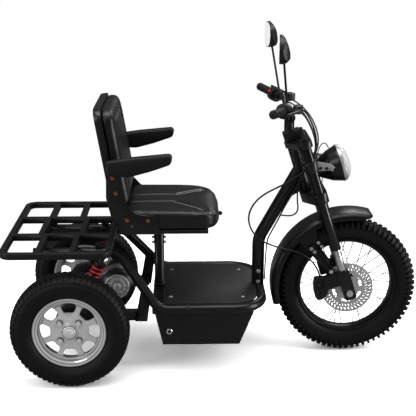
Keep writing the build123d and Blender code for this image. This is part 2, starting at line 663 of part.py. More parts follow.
foot_y = (post_y[0], -RACK_LONG_BAR_Y + RACK_BAR_W / 2)
for x in RACK_POST_X:
    post_x = (x - RACK_POST_W / 2, x + RACK_POST_W / 2)
    post = block(post_x, post_y, (RAIL_Z, post_top)) - loop
    post = max(post.solids(), key=lambda solid: solid.center().Z)
    posts += both_sides(post + block(post_x, foot_y, (post_top - RACK_FOOT_T, post_top)))
nodes["rack_posts"] = Part() + posts

# Seat post, slides and pan
post_low = beam_z[1] + SEAT_GAP
flange = Pos(SEAT_X, 0, post_low) * Box(SEAT_BEAM_W, POST_FOOT_W, POST_FOOT_T, align=STAND)
nodes["seat_post"] = flange + rod((SEAT_X, 0, post_low), (SEAT_X, 0, PLATE_Z), POST_D)
plate_low = PLATE_Z + SEAT_GAP
slide_low = plate_low + PLATE_T
pan_low = slide_low + SLIDE_H
pan_high = pan_low + PAN_T
slide_out = SLIDE_Y + SLIDE_W / 2
base = block((SEAT_X - PLATE_HALF_L, SEAT_X + PLATE_HALF_L), (-slide_out, slide_out), (plate_low, slide_low))
slide = block((SEAT_X - SLIDE_BACK, SEAT_X + SLIDE_FRONT), (-slide_out, -slide_out + SLIDE_W),
              (slide_low, pan_low))
pan = block((SEAT_X - PAN_BACK, SEAT_X + PAN_FRONT), (-BACK_HALF_W, BACK_HALF_W), (pan_low, pan_high))
nodes["seat_base"] = base + both_sides(slide) + pan

# Seat cushion: crowned block with a rounded nose
pad_low = pan_high + SEAT_GAP
cushion_rear = SEAT_X - CUSHION_BACK
cushion_front = SEAT_X + CUSHION_FRONT
nose = [(cushion_front - inward, pad_low + share * CUSHION_H) for inward, share in NOSE_ROWS]
cushion = side_slab([(cushion_rear, pad_low)] + nose + [(cushion_rear, pad_low + CUSHION_H)],
                    -SEAT_HALF_W, SEAT_HALF_W)
nose_root = cushion_front - CUSHION_NOSE_L
cushion_plan = Pos((cushion_rear + nose_root) / 2, 0) * Rectangle(nose_root - cushion_rear, 2 * SEAT_HALF_W)
cushion_plan += Pos(nose_root, 0) * Ellipse(CUSHION_NOSE_L, SEAT_HALF_W)
cushion = cushion & Pos(0, 0, pad_low) * extrude(cushion_plan, CUSHION_H, both=True)
cushion = fillet(cushion.edges().group_by(Axis.Z)[-1].filter_by(Axis.X), CUSHION_EDGE_R)
nodes["seat_cushion"] = cushion

# Backrest: a leaning shell with the pad in front of it
BACK = Pos(BACK_FOOT_X, 0, BACK_FOOT_Z) * Rot(0, -BACK_LEAN, 0)


def back_panel(depth_low, depth_high, low, high, half_width):
    """Panel in the backrest's own frame: depth forward, height up the back."""
    panel = block((depth_low, depth_high), (-half_width, half_width), (low, high))
    return fillet(panel.edges().filter_by(Axis.X).group_by(Axis.Z)[-1], BACK_CORNER_R)


pad_back = BACK_SHELL_T + SEAT_GAP
back_pad = back_panel(pad_back, pad_back + BACK_PAD_T, BACK_PAD_LOW, BACK_SHELL_H - BACK_PAD_UNDER,
                      SEAT_HALF_W - BACK_PAD_IN)
back_pad = fillet(back_pad.edges().group_by(Axis.X)[-1], BACK_PAD_EDGE_R)
nodes["seat_back_shell"] = BACK * back_panel(0, BACK_SHELL_T, 0, BACK_SHELL_H, BACK_HALF_W)
nodes["seat_back_cushion"] = BACK * back_pad

# Side plates that join pan and backrest, each with the armrest's pin
plate_in = BACK_HALF_W + SEAT_GAP
plate_out = plate_in + PLATE_SIDE_T
plate_foot = [(ARM_PIVOT_X + ahead, pan_low) for ahead in reversed(SIDE_PLATE_FOOT)]
side_plate = side_slab(from_pin(SIDE_PLATE_ROWS) + plate_foot, -plate_out, -plate_in)
arm_in = plate_out + ARM_GAP
arm_pin = across(ARM_PIVOT_X, ARM_PIVOT_Z, -arm_in - ARM_PIN_IN, -plate_in, ARM_PIN_D)
nodes["seat_brackets"] = Part() + both_sides(side_plate + arm_pin)

# Armrests: tapered pads that swing up about the pins
armrest = side_slab(from_pin(ARMREST_ROWS), -arm_in - ARM_W, -arm_in)
armrest = fillet(armrest.edges().filter_by(Axis.Y), ARM_EDGE_R)
pin_hole = across(ARM_PIVOT_X, ARM_PIVOT_Z, -arm_in - ARM_PIN_IN - SEAT_GAP, -plate_out, ARM_PIN_D + 2 * RUN)
nodes["armrest_right"], nodes["armrest_left"] = both_sides(armrest - pin_hole)

# Swing arms, their pivot hangers and the rear axle
arm_y = (-SWING_Y - ARM_BOX_W / 2, -SWING_Y + ARM_BOX_W / 2)
axle_r = AXLE_TUBE_D / 2
arm_tail = -axle_r - ARM_TAIL_L
swing = side_slab(
    [(arm_tail, REAR_R - ARM_BOX_H / 2), (PIVOT_X + ARM_TIP_L, PIVOT_Z - ARM_TIP_H / 2),
     (PIVOT_X + ARM_TIP_L, PIVOT_Z + ARM_TIP_H / 2), (arm_tail, REAR_R + ARM_BOX_H / 2)], *arm_y)
swing += across(0, REAR_R, *arm_y, AXLE_TUBE_D + 2 * ARM_BOSS_T)
for ear in (-1, 1):
    ear_y = -SWING_Y + ear * (SHOCK_EYE_W / 2 + EAR_GAP + EAR_T / 2)
    swing += block((SHOCK_LOW_X - EAR_HALF_L, SHOCK_LOW_X + EAR_HALF_L),
                   (ear_y - EAR_T / 2, ear_y + EAR_T / 2),
                   (REAR_R + EAR_ROOT, SHOCK_LOW_Z + EAR_OVER))
swing = swing - across(0, REAR_R, -BACKING_Y, 0, AXLE_TUBE_D + 2 * FIT)
swing = swing - across(PIVOT_X, PIVOT_Z, -DECK_TUBE_Y, 0, PIVOT_BOLT_D + 2 * FIT)
swing = swing - across(SHOCK_LOW_X, SHOCK_LOW_Z, -DECK_TUBE_Y, 0, SHOCK_BOLT_D + 2 * FIT)
nodes["swing_arms"] = Part() + both_sides(swing)
hanger_in = SWING_Y + ARM_BOX_W / 2 + SEAT_GAP
hanger_rows = [(PIVOT_X + ahead, PIVOT_Z + up) for ahead, up in HANGER_ROWS]
hanger = side_slab(hanger_rows, -hanger_in - HANGER_T, -hanger_in) - loop
hanger = min(hanger.solids(), key=lambda solid: solid.center().Z)
hanger_bolt = across(PIVOT_X, PIVOT_Z, -hanger_in - HANGER_T - PIVOT_BOLT_OUT, arm_y[1] + PIVOT_BOLT_IN,
                     PIVOT_BOLT_D)
nodes["swing_pivots"] = Part() + both_sides(hanger + hanger_bolt)
stub_end = WHEEL_Y + REAR_FACE_IN - STUB_SHORT
axle_half = [
    (BACKING_Y, axle_r), (BACKING_Y, DRUM_R), (BACKING_Y + BACKING_T, DRUM_R),
    (BACKING_Y + BACKING_T, STUB_D / 2),
    (stub_end, STUB_D / 2), (stub_end, 0)]
nodes["rear_axle"] = Pos(0, 0, REAR_R) * turned([(-y, r) for y, r in reversed(axle_half)] + axle_half)

# Drive: motor across the frame ahead of the axle, geared to it through the middle case
case_link = make_hull(
    (Pos(0, REAR_R) * Circle(CASE_R) + Pos(MOTOR_X, MOTOR_Z) * Circle(MOTOR_R - CASE_NOSE_IN)).edges())
case = extrude(Plane.XZ * case_link, CASE_HALF_W, both=True)
case = case - across(0, REAR_R, -BACKING_Y, BACKING_Y, AXLE_TUBE_D + 2 * FIT)
waist_r = MOTOR_R - MOTOR_NECK
nodes["gear_case"] = case - across(MOTOR_X, MOTOR_Z, -MOTOR_HALF_L, MOTOR_HALF_L, 2 * waist_r + 2 * FIT)
motor_half = [
    (CASE_HALF_W + SEAT_GAP, waist_r), (CASE_HALF_W + SEAT_GAP, MOTOR_R),
    (MOTOR_HALF_L - MOTOR_EDGE_L, MOTOR_R),
    (MOTOR_HALF_L, MOTOR_R - MOTOR_EDGE_R), (MOTOR_HALF_L, 0)]
motor = turned([(-y, r) for y, r in reversed(motor_half)] + motor_half)
nodes["drive_motor"] = Pos(MOTOR_X, 0, MOTOR_Z) * motor

# Shock absorbers: damper with eyes and bolts, and the coil spring round it
shock_low = Vector(SHOCK_LOW_X, -SWING_Y, SHOCK_LOW_Z)
shock_top = Vector(SHOCK_TOP_X, -SWING_Y, RAIL_Z)
shock_plane = Plane(origin=shock_low, x_dir=(0, 1, 0), z_dir=shock_top - shock_low)
shock_len = (shock_top - shock_low).length
spring_low = shock_len - SPRING_LEN - SPRING_TOP_GAP
spring_high = spring_low + SPRING_LEN
damper_r, cup_r, neck_r, top_rod_r = DAMPER_D / 2, SPRING_D / 2, SHOCK_NECK_D / 2, SHOCK_ROD_D / 2
damper_profile = [
    (0, neck_r), (neck_r, neck_r), (neck_r, SHOCK_EYE_D), (damper_r, SHOCK_EYE_D),
    (damper_r, spring_low - CUP_T),
    (cup_r, spring_low - CUP_T), (cup_r, spring_low - SEAT_GAP), (damper_r, spring_low - SEAT_GAP),
    (damper_r, spring_high + SEAT_GAP), (cup_r, spring_high + SEAT_GAP), (cup_r, spring_high + CUP_T),
    (top_rod_r, spring_high + CUP_T + CUP_TAPER), (top_rod_r, shock_len - neck_r), (0, shock_len - neck_r)]
damper = shock_plane * revolve(Plane.XZ * Polygon(*damper_profile, align=None), Axis.Z)
eye_y = (-SWING_Y - SHOCK_EYE_W / 2, -SWING_Y + SHOCK_EYE_W / 2)
damper += across(SHOCK_LOW_X, SHOCK_LOW_Z, *eye_y, SHOCK_EYE_D)
damper += across(SHOCK_TOP_X, RAIL_Z, *eye_y, SHOCK_EYE_D)
bolt_y = (eye_y[0] - SHOCK_BOLT_OUT, eye_y[1] + SHOCK_BOLT_OUT)
damper += across(SHOCK_LOW_X, SHOCK_LOW_Z, *bolt_y, SHOCK_BOLT_D)
damper += across(SHOCK_TOP_X, RAIL_Z, bolt_y[0], -RAIL_Y - TUBE_D / 2 - SEAT_GAP, SHOCK_BOLT_D)
nodes["shock_dampers"] = Part() + both_sides(damper)
pitch = SPRING_LEN / SPRING_COILS
valley_r = cup_r - SPRING_WIRE / 2
spring_profile = [(damper_r + FIT, spring_low), (damper_r + FIT, spring_high)]
for coil in reversed(range(SPRING_COILS)):
    crest = spring_low + (coil + 0.5) * pitch
    spring_profile += [(valley_r, crest + pitch / 2), (cup_r, crest + pitch * SPRING_CREST / 2),
                       (cup_r, crest - pitch * SPRING_CREST / 2)]
spring_profile.append((valley_r, spring_low))
spring = shock_plane * revolve(Plane.XZ * Polygon(*spring_profile, align=None), Axis.Z)
nodes["shock_springs"] = Part() + both_sides(spring)

# Rear wheels: tyre, alloy rim with windows, and the drum hub with nuts and cap
tyre_half = REAR_TYRE_W / 2
rim_half = REAR_RIM_W / 2
flange_r = REAR_RIM_D / 2
bead_r = flange_r - REAR_FLANGE_H
barrel_r = bead_r - REAR_BARREL_T
wall = [(tyre_half - inward, flange_r + share * (REAR_R - flange_r)) for inward, share in REAR_TYRE_ROWS]
rear_tyre = turned(mirrored_rows(
    [(rim_half - BEAD_IN, bead_r + SEAT_GAP), (rim_half - BEAD_OUT, flange_r + BEAD_RISE)] + wall))
lip_in = rim_half - REAR_LIP_T
drop_in = rim_half - REAR_LIP_T - BEAD_RISE
rim = turned(mirrored_rows([
    (drop_in, bead_r), (lip_in, flange_r), (rim_half, flange_r),
    (rim_half, flange_r - REAR_LIP_T - BEAD_RISE),
    (drop_in, barrel_r + REAR_LIP_T), (drop_in - REAR_DROP_W, barrel_r)]))
face_lap = barrel_r + REAR_BARREL_T / 3
face_high = REAR_FACE_IN + REAR_FACE_T
face = turned([(REAR_FACE_IN, 0), (REAR_FACE_IN, face_lap), (face_high - REAR_FACE_DISH, face_lap),
               (face_high, REAR_DISH_R), (face_high, 0)])
window_out = barrel_r - REAR_WINDOW_LAND
ring_gap = Circle(window_out) - Circle(window_out - REAR_WINDOW_H)
for number in range(REAR_WINDOWS // 2):
    turn = (number + 0.5) * 360 / REAR_WINDOWS
    ring_gap -= Rot(0, 0, turn) * Rectangle(2 * flange_r, REAR_SPOKE_W)
ring_gap = fillet(ring_gap.vertices(), REAR_WINDOW_R)
UPRIGHT = Rot(-90, 0, 0)
windows = UPRIGHT * extrude(ring_gap, REAR_RIM_W, both=True)
centre_hole = UPRIGHT * Cylinder(STUB_D / 2 + REAR_BORE_GAP, REAR_RIM_W)
wheel = rim + face - windows - centre_hole
drum_in = BACKING_Y + BACKING_T + DRUM_GAP - WHEEL_Y
drum_floor = drum_in + DRUM_W - DRUM_WALL
face_in = REAR_FACE_IN - SEAT_GAP
hub_bore = STUB_D / 2 + RUN
hub = turned([
    (drum_in, DRUM_R - DRUM_WALL), (drum_in, DRUM_R), (drum_in + DRUM_W, DRUM_R), (drum_in + DRUM_W, HUB_R),
    (face_in, HUB_R), (face_in, hub_bore), (drum_floor, hub_bore), (drum_floor, DRUM_R - DRUM_WALL)])
face_out = face_high + SEAT_GAP
cap = turned([(face_out, 0)] + [(face_out + rise, radius) for rise, radius in CAP_ROWS]
             + [(face_out + CAP_ROWS[-1][0], 0)])
trim = [cap]
for number in range(HUB_BOLTS):
    nut = extrude(RegularPolygon(HUB_NUT_AF / 2, 6, major_radius=False), HUB_NUT_H)
    spot = Rot(0, (number + 0.5) * 360 / HUB_BOLTS, 0) * Pos(HUB_BOLT_PCD / 2, face_out, 0)
    trim.append(spot * UPRIGHT * nut)
for side, name in ((-1, "right"), (1, "left")):
    at_wheel = Pos(0, side * WHEEL_Y, REAR_R)
    turn = Rot(0, 0, 180) if side < 0 else Rot(0, 0, 0)
    for piece, shape in (("tyre", rear_tyre), ("rim", Part() + [wheel] + trim), ("hub", hub)):
        nodes[f"rear_{piece}_{name}"] = at_wheel * turn * shape

# Fork: two yokes on the stem, outer legs, bright sliders and bottom castings
yoke_plan = make_hull(
    (Circle(YOKE_EAR_R) + Pos(STEER_OFFSET, LEG_Y) * Circle(YOKE_EAR_R)
     + Pos(STEER_OFFSET, -LEG_Y) * Circle(YOKE_EAR_R)).edges())
stem = Pos(0, 0, YOKE_LOW[0]) * Cylinder(STEM_D / 2, YOKE_TOP[1] + STEM_OVER - YOKE_LOW[0], align=STAND)
yokes = STEER * (Pos(0, 0, YOKE_LOW[0]) * extrude(yoke_plan, YOKE_LOW_T)
                 + Pos(0, 0, YOKE_TOP[0]) * extrude(yoke_plan, YOKE_TOP_T) + stem)


def leg_bar(low, high, diameter):
    """Round bar on the right fork leg's line between two heights."""
    return rod(steer_point(STEER_OFFSET, -LEG_Y, low), steer_point(STEER_OFFSET, -LEG_Y, high), diameter)


nodes["fork_yokes"] = yokes - both_sides(leg_bar(LEG_LOW, LEG_HIGH + LEG_D, LEG_D + 2 * FIT))
leg = leg_bar(LEG_LOW, LEG_HIGH, LEG_D)
leg = leg - leg_bar(LEG_LOW - CUT_PAST, LEG_LOW + SLIDER_IN + CUT_PAST, SLIDER_D + 2 * FIT)
nodes["fork_legs"] = Part() + both_sides(leg)
nodes["fork_sliders"] = Part() + both_sides(leg_bar(SLIDER_LOW, LEG_LOW + SLIDER_IN, SLIDER_D))
casting_out = LEG_Y + CASTING_W / 2
casting_body = block((-CASTING_HALF_L, CASTING_HALF_L), (-casting_out, -CASTING_IN_Y),
                     (-CASTING_LOW, CASTING_HIGH))
casting_body = fillet(casting_body.edges().filter_by(Axis.Y), CASTING_EDGE_R)
casting_lug = block((-LUG_BACK, 0), (-LEG_Y - LUG_OUT, -CASTING_IN_Y), (LUG_LOW, CASTING_HIGH - LUG_TOP_IN))
casting = FORK * (casting_body + casting_lug)
casting = casting - leg_bar(SLIDER_LOW - SEAT_GAP, LEG_HIGH, SLIDER_D + 2 * FIT)
casting = casting - across(WHEELBASE, FRONT_R, -2 * casting_out, 0, FRONT_AXLE_D + 2 * FIT)
nodes["fork_castings"] = Part() + both_sides(casting)

# Front axle with its spacers and nuts
flange_out = FRONT_FLANGE_Y + FRONT_FLANGE_T
hub_end = flange_out + HUB_END
spacer_in = hub_end + SPACER_GAP
pin_r = FRONT_AXLE_D / 2
nut_in = casting_out + SEAT_GAP
axle_side = [
    (spacer_in, pin_r), (spacer_in, FRONT_AXLE_D), (CASTING_IN_Y - SEAT_GAP, FRONT_AXLE_D),
    (CASTING_IN_Y - SEAT_GAP, pin_r), (nut_in, pin_r), (nut_in, AXLE_NUT_R),
    (casting_out + AXLE_NUT_T, AXLE_NUT_R),
    (casting_out + AXLE_NUT_T, 0)]
nodes["front_axle"] = FRONT_AXLE * turned(axle_side[::-1] + [(-y, r) for y, r in axle_side])

# Front brake caliper: astride the disc behind the right casting
disc_low, disc_high = DISC_Y - DISC_T / 2, DISC_Y + DISC_T / 2
caliper_y = (-CASTING_IN_Y + SEAT_GAP, disc_high + CALIPER_GAP + CALIPER_BACK_T)
caliper = block((-CALIPER_LENGTHS[0], CALIPER_LENGTHS[1]), caliper_y,
                (-CALIPER_HEIGHTS[0], CALIPER_HEIGHTS[1]))
caliper = FRONT_AXLE * Pos(CALIPER_IN - DISC_R, 0, -CALIPER_DROP) * Rot(0, -RAKE, 0) * caliper
caliper = fillet(caliper.edges().filter_by(Axis.Y), CALIPER_EDGE_R)
room_r = DISC_R + CALIPER_ROOM
room_y = (disc_low - CALIPER_GAP, disc_high + CALIPER_GAP)
disc_room = FRONT_AXLE * turned([(room_y[0], 0), (room_y[0], room_r), (room_y[1], room_r), (room_y[1], 0)])
hub_room_r = DISC_IN_R + CALIPER_ROOM
hub_room = FRONT_AXLE * turned([(-CASTING_IN_Y, 0), (-CASTING_IN_Y, hub_room_r), (0, hub_room_r), (0, 0)])
arm_x, arm_z = CALIPER_ARM
caliper_arm = FORK * block(arm_x, (caliper_y[0], caliper_y[0] + CALIPER_ARM_T), arm_z)
nodes["front_caliper"] = caliper - disc_room - hub_room + caliper_arm

# Fender: a trough about a point just above the axle, with flaps that two straps carry
skirt_r = FENDER_R - FENDER_SKIRT
edge_y, edge_r = FENDER_EDGE
inner_y, inner_r = FENDER_HALF_W - FENDER_T, FENDER_R - FENDER_T
fender_half = [
    (inner_y - edge_y, inner_r), (inner_y, inner_r - edge_r), (inner_y, skirt_r), (FENDER_HALF_W, skirt_r),
    (FENDER_HALF_W, FENDER_R - edge_r), (FENDER_HALF_W - edge_y, FENDER_R)]
fender = revolve(Plane.YZ * Polygon(*mirrored_rows(fender_half), align=None), Axis.Y,
                 revolution_arc=FENDER_REAR - FENDER_FRONT)
flap = side_slab([fender_place(*row) for row in FLAP_ROWS], -FENDER_HALF_W, -inner_y)
tip_rows = [(inward, FENDER_FRONT + past) for inward, past in FENDER_TIP_ROWS]
tip_rows += [(FENDER_SKIRT + FENDER_T, tip_rows[-1][1]), (FENDER_SKIRT + FENDER_T, FENDER_FRONT - FENDER_T),
             (tip_rows[0][0], FENDER_FRONT - FENDER_T)]
tip_half = FENDER_HALF_W + CUT_PAST
tip_cut = side_slab([fender_place(*row) for row in tip_rows], -tip_half, tip_half)
fender = FENDER_MIDDLE * Rot(0, 90 - FENDER_REAR, 0) * fender - tip_cut
nodes["front_fender"] = fender + both_sides(flap)
strap_foot = [(FORK * Pos(x, 0, z)).position for x, z in STRAP_FOOT_ROWS]
strap_outline = [fender_place(*row) for row in STRAP_TOP_ROWS] + [(place.X, place.Z) for place in strap_foot]
strap = side_slab(strap_outline, -CASTING_IN_Y + SEAT_GAP, -FENDER_HALF_W - SEAT_GAP)
nodes["fender_straps"] = Part() + both_sides(strap)

# Handlebar on its riser
bar_half = [bar_point(x, -y, z) for x, y, z in
            (BAR_END, BAR_RISE, (BAR_CLAMP[0], BAR_FLAT_Y, BAR_CLAMP[1]))]
bar_points = bar_half + [(x, -y, z) for x, y, z in reversed(bar_half)]
nodes["handlebar"] = bent_tube(bar_points, BAR_D, [BAR_BEND_R] * 4)
riser_base = Pos(RISER_BASE_AHEAD, 0, YOKE_TOP[1] + SEAT_GAP) * Box(*RISER_BASE, align=STAND)
stem_room = Pos(0, 0, YOKE_TOP[1]) * Cylinder(STEM_D / 2 + FIT, STEM_OVER + SEAT_GAP, align=STAND)
clamp_at = bar_point(BAR_CLAMP[0], 0, BAR_CLAMP[1])
riser_post = rod(bar_point(0, 0, RISER_BASE[2] - RISER_SINK), clamp_at, RISER_D)
clamp = across(clamp_at[0], clamp_at[2], -CLAMP_HALF_W, CLAMP_HALF_W, BAR_D + 2 * CLAMP_T)
bar_room = across(clamp_at[0], clamp_at[2], -BAR_FLAT_Y, BAR_FLAT_Y, BAR_D + 2 * FIT)
nodes["handlebar_riser"] = STEER * (riser_base - stem_room) + riser_post + clamp - bar_room

# Grips, switch pods and brake levers along the bar's right end, mirrored to the left
run_end, run_start = bar_half[0], bar_half[1]
run_length = (Vector(*run_end) - Vector(*run_start)).length
bar_way = (Vector(*run_end) - Vector(*run_start)).normalized()


def sleeve(low, high, diameter):
    """Sleeve round the bar between two distances from its end bend."""
    outer = rod(along(run_start, run_end, low), along(run_start, run_end, high), diameter)
    return outer - rod(run_start, along(run_start, run_end, run_length + GRIP_D), BAR_D + 2 * FIT)


grip_low = run_length - GRIP_L
perch_high = grip_low - POD_L - 2 * SEAT_GAP
perch = sleeve(perch_high - PERCH_L, perch_high, PERCH_D)
ahead_way = bar_way.cross(Vector(0, 0, 1)).normalized() * -1
lever_root = along(run_start, run_end, perch_high - PERCH_L / 2)
lever_knee = lever_root + ahead_way * LEVER_REACH
lever_tip = lever_knee + bar_way * (PERCH_L / 2 + POD_L + GRIP_L - LEVER_SHORT)
lever_start = lever_root + ahead_way * (BAR_D / 2 + FIT * 10)
lever = bent_tube([tuple(lever_start), tuple(lever_knee), tuple(lever_tip)], LEVER_D, [LEVER_D])
pump_start = lever_root + ahead_way * PUMP_AHEAD
pump_end = pump_start - bar_way * PUMP_L
tank_plane = Plane(origin=pump_end + bar_way * TANK_L / 2 + Vector(0, 0, TANK_LIFT), x_dir=bar_way,
                   z_dir=(0, 0, 1))
tank = tank_plane * Box(TANK_L, TANK_W, TANK_H)
nodes["grips"] = Part() + both_sides(sleeve(grip_low, run_length + GRIP_OVER, GRIP_D))
nodes["switch_pods"] = Part() + both_sides(sleeve(grip_low - POD_L - SEAT_GAP, grip_low - SEAT_GAP, POD_D))
nodes["brake_levers"] = Part() + both_sides(perch + lever + rod(pump_start, pump_end, PUMP_D) + tank)

# Mirrors: stem from the lever perch to a deep oval head, yawed towards the rider
mirror_middle = lever_root + Vector(-MIRROR_BACK, -MIRROR_OUT, MIRROR_UP)
MIRROR = Pos(*mirror_middle) * Rot(0, 0, -MIRROR_YAW)
front_oval = Ellipse(MIRROR_W / 2, MIRROR_H / 2)
oval_slab = extrude(Plane.YZ * front_oval, MIRROR_T + CUT_PAST)
side_rows = [(depth * MIRROR_T, up * MIRROR_H) for up, depth in MIRROR_ROWS]
side_cut = side_slab(side_rows, -MIRROR_W, MIRROR_W)
plan_rows = [(depth * MIRROR_T, out * MIRROR_W) for out, depth in MIRROR_PLAN]
plan_cut = extrude(Polygon(*plan_rows, align=None), MIRROR_H, both=True)
mirror_head = oval_slab & side_cut & plan_cut
glass_w, glass_h = MIRROR_W / 2 - MIRROR_RIM, MIRROR_H / 2 - MIRROR_RIM
glass = extrude(Plane.YZ * Ellipse(glass_w, glass_h), MIRROR_GLASS_T)
room_oval = Ellipse(glass_w + FIT, glass_h + FIT)
glass_room = extrude(Plane.YZ * room_oval, MIRROR_GLASS_T + SEAT_GAP, both=True)
stem_foot = lever_root - bar_way * MIRROR_STEM_IN + Vector(0, 0, PERCH_D / 2 - CUT_PAST)
stem_top = (MIRROR * Pos(MIRROR_STEM_DEPTH, 0, -MIRROR_H / 4)).position
mirror_stem = largest(rod(stem_foot, stem_top, MIRROR_STEM_D) - rod(run_start, run_end, PERCH_D + 2 * FIT))
mirror_body = MIRROR * (mirror_head - glass_room) + mirror_stem
nodes["mirror_right"], nodes["mirror_left"] = both_sides(mirror_body)
nodes["mirror_glass"] = Part() + both_sides(MIRROR * glass)

# Headlamp: bucket, bright ring, domed lens and two brackets on the fork legs
lamp_high = HEAD_LOW + LAMP_OVER
LAMP = STEER * Pos(LAMP_AHEAD, 0, lamp_high) * Rot(0, LAMP_NOD, 0) * Rot(0, 0, -90)
lamp_at = LAMP.position
back_edge_r, back_edge_l = LAMP_BACK_EDGE
bucket = turned([
    (-LAMP_DEPTH, 0), (-LAMP_DEPTH, LAMP_BACK_R - back_edge_r), (-LAMP_DEPTH + back_edge_l, LAMP_BACK_R),
    (-LAMP_DEPTH * LAMP_WAIST[0], LAMP_R * LAMP_WAIST[1]), (0, LAMP_R - LAMP_MOUTH_IN), (0, 0)])
ring_in = LAMP_R - LAMP_RING_T
lamp_ring = turned([(SEAT_GAP, ring_in), (SEAT_GAP, LAMP_R), (LAMP_RING_W, LAMP_R - LAMP_RING_TAPER),
                    (LAMP_RING_W, ring_in)])
lens_r = ring_in - SEAT_GAP
lens_rows = [(LAMP_RING_W + LAMP_DOME * sin(radians(turn)), lens_r * cos(radians(turn)))
             for turn in range(0, 90, LAMP_DOME_STEP)]
lens = turned([(SEAT_GAP, 0), (SEAT_GAP, lens_r)] + lens_rows + [(LAMP_RING_W + LAMP_DOME, 0)])
nodes["headlamp_shell"] = LAMP * bucket
nodes["headlamp_ring"] = LAMP * lamp_ring
nodes["headlamp_lens"] = LAMP * lens
bracket_high = (lamp_at.Z + BRACKET_LIFT - FRONT_R) / cos(radians(RAKE))
bracket_leg = steer_point(STEER_OFFSET, -LEG_Y, bracket_high)
half_ring = BRACKET_RING_H / 2
bracket_ring = leg_bar(bracket_high - half_ring, bracket_high + half_ring, LEG_D + 2 * BRACKET_RING_T)
bracket_nose = [(lamp_at.X - behind, lamp_at.Z + up) for behind, up in BRACKET_ROWS]
bracket_plate = side_slab(
    [(bracket_leg.X - BRACKET_FOOT[0], bracket_leg.Z + half_ring)] + bracket_nose
    + [(bracket_leg.X + BRACKET_FOOT[1], bracket_leg.Z - half_ring)],
    -LAMP_BRACKET_Y - LAMP_BRACKET_T, -LAMP_BRACKET_Y)
stud_z = lamp_at.Z + BRACKET_ROWS[1][1]
bracket_stud = across(lamp_at.X - BRACKET_STUD_BACK, stud_z, -LAMP_BRACKET_Y - CUT_PAST, -LAMP_BACK_R,
                      BRACKET_STUD_D)
bracket_stud = bracket_stud - nodes["headlamp_shell"]
bracket_stud = min(bracket_stud.solids(), key=lambda solid: solid.center().Y)
bracket = bracket_ring + bracket_plate + bracket_stud - leg_bar(LEG_LOW, LEG_HIGH, LEG_D + 2 * FIT)
nodes["headlamp_brackets"] = Part() + both_sides(bracket)

# Front wheel: knobbed tyre, rim, crossed spokes, hub and slotted brake disc
front_half = FRONT_TYRE_W / 2
rim_w = FRONT_RIM_W / 2
rim_in_r = FRONT_RIM_R - FRONT_RIM_H
well_r = rim_in_r + FRONT_RIM_WELL
carcass_r = FRONT_R - KNOB_H
front_wall = [(front_half - inward, FRONT_RIM_R + share * (carcass_r - FRONT_RIM_R))
              for inward, share in FRONT_TYRE_ROWS]
carcass = turned(mirrored_rows(
    [(rim_w - BEAD_IN, well_r + SEAT_GAP),
     (rim_w - FRONT_BEAD_OUT, FRONT_RIM_R + FRONT_BEAD_RISE)] + front_wall))
knob_section = [
    (KNOB_IN_Y, carcass_r - KNOB_ROOT), (KNOB_IN_Y, FRONT_R), (front_half - KNOB_CHAMFER, FRONT_R),
    (front_half, FRONT_R - KNOB_CHAMFER), (front_half, carcass_r - KNOB_ROOT)]
knob = extrude(Plane.YZ * Polygon(*knob_section, align=None), KNOB_L / 2, both=True)
knobs = []
for number in range(KNOBS):
    knobs.append(Rot(0, number * 360 / KNOBS, 0) * knob)
    knobs.append(Rot(0, (number + 0.5) * 360 / KNOBS, 0) * mirror(knob, about=Plane.XZ))
nodes["front_tyre"] = FRONT_AXLE * (carcass + knobs)
nodes["front_rim"] = FRONT_AXLE * turned(mirrored_rows([
    (FRONT_RIM_FLOOR, rim_in_r), (rim_w, well_r), (rim_w, FRONT_RIM_R), (rim_w - FRONT_RIM_T, FRONT_RIM_R),
    (rim_w - FRONT_RIM_WELL, well_r)]))
neck_end_r = FRONT_HUB_R - HUB_NECK
hub_side = [
    (FRONT_FLANGE_Y, FRONT_HUB_R), (FRONT_FLANGE_Y, FRONT_FLANGE_R), (flange_out, FRONT_FLANGE_R),
    (flange_out, neck_end_r), (hub_end, neck_end_r), (hub_end, pin_r + RUN)]
nodes["front_hub"] = FRONT_AXLE * turned(hub_side[::-1] + [(-y, r) for y, r in hub_side])
spokes = []
hub_r = FRONT_FLANGE_R + SPOKE_D / 2 + SEAT_GAP
rim_r = rim_in_r - SPOKE_GAP
for number in range(SPOKES):
    side = 1 if number % 2 else -1
    lead = 1 if (number // 2) % 2 else -1
    hub_turn = radians(number * 360 / SPOKES)
    rim_turn = hub_turn + radians(lead * SPOKE_TURN)
    layer = lead * (SPOKE_D / 2 + FIT)
    hub_y = side * (FRONT_FLANGE_Y + FRONT_FLANGE_T / 2 + layer)
    rim_y = side * (SPOKE_RIM_Y + layer)
    spokes.append(rod((hub_r * cos(hub_turn), hub_y, hub_r * sin(hub_turn)),
                      (rim_r * cos(rim_turn), rim_y, rim_r * sin(rim_turn)), SPOKE_D))
nodes["front_spokes"] = FRONT_AXLE * (Part() + spokes)
disc = turned([(disc_low, DISC_IN_R), (disc_low, DISC_R), (disc_high, DISC_R), (disc_high, DISC_IN_R)])
slot_r = (DISC_R - DISC_SLOT_EDGE - DISC_SLOT_L, DISC_R - DISC_SLOT_EDGE)
slot = block(slot_r, (disc_low - CUT_PAST, disc_high + CUT_PAST), (-DISC_SLOT_W / 2, DISC_SLOT_W / 2))
disc = disc - [Rot(0, number * 360 / DISC_SLOTS, 0) * slot for number in range(DISC_SLOTS)]
carrier_in = -flange_out - SPOKE_D - CARRIER_GAP
carrier_bore = neck_end_r + FIT
carrier = turned([(disc_low, carrier_bore), (disc_low, CARRIER_R), (carrier_in, CARRIER_R),
                  (carrier_in, carrier_bore)])
arm = block((CARRIER_R - HUB_NECK, DISC_IN_R + DISC_ARM_LAP), (disc_low, disc_high),
            (-DISC_ARM_W / 2, DISC_ARM_W / 2))
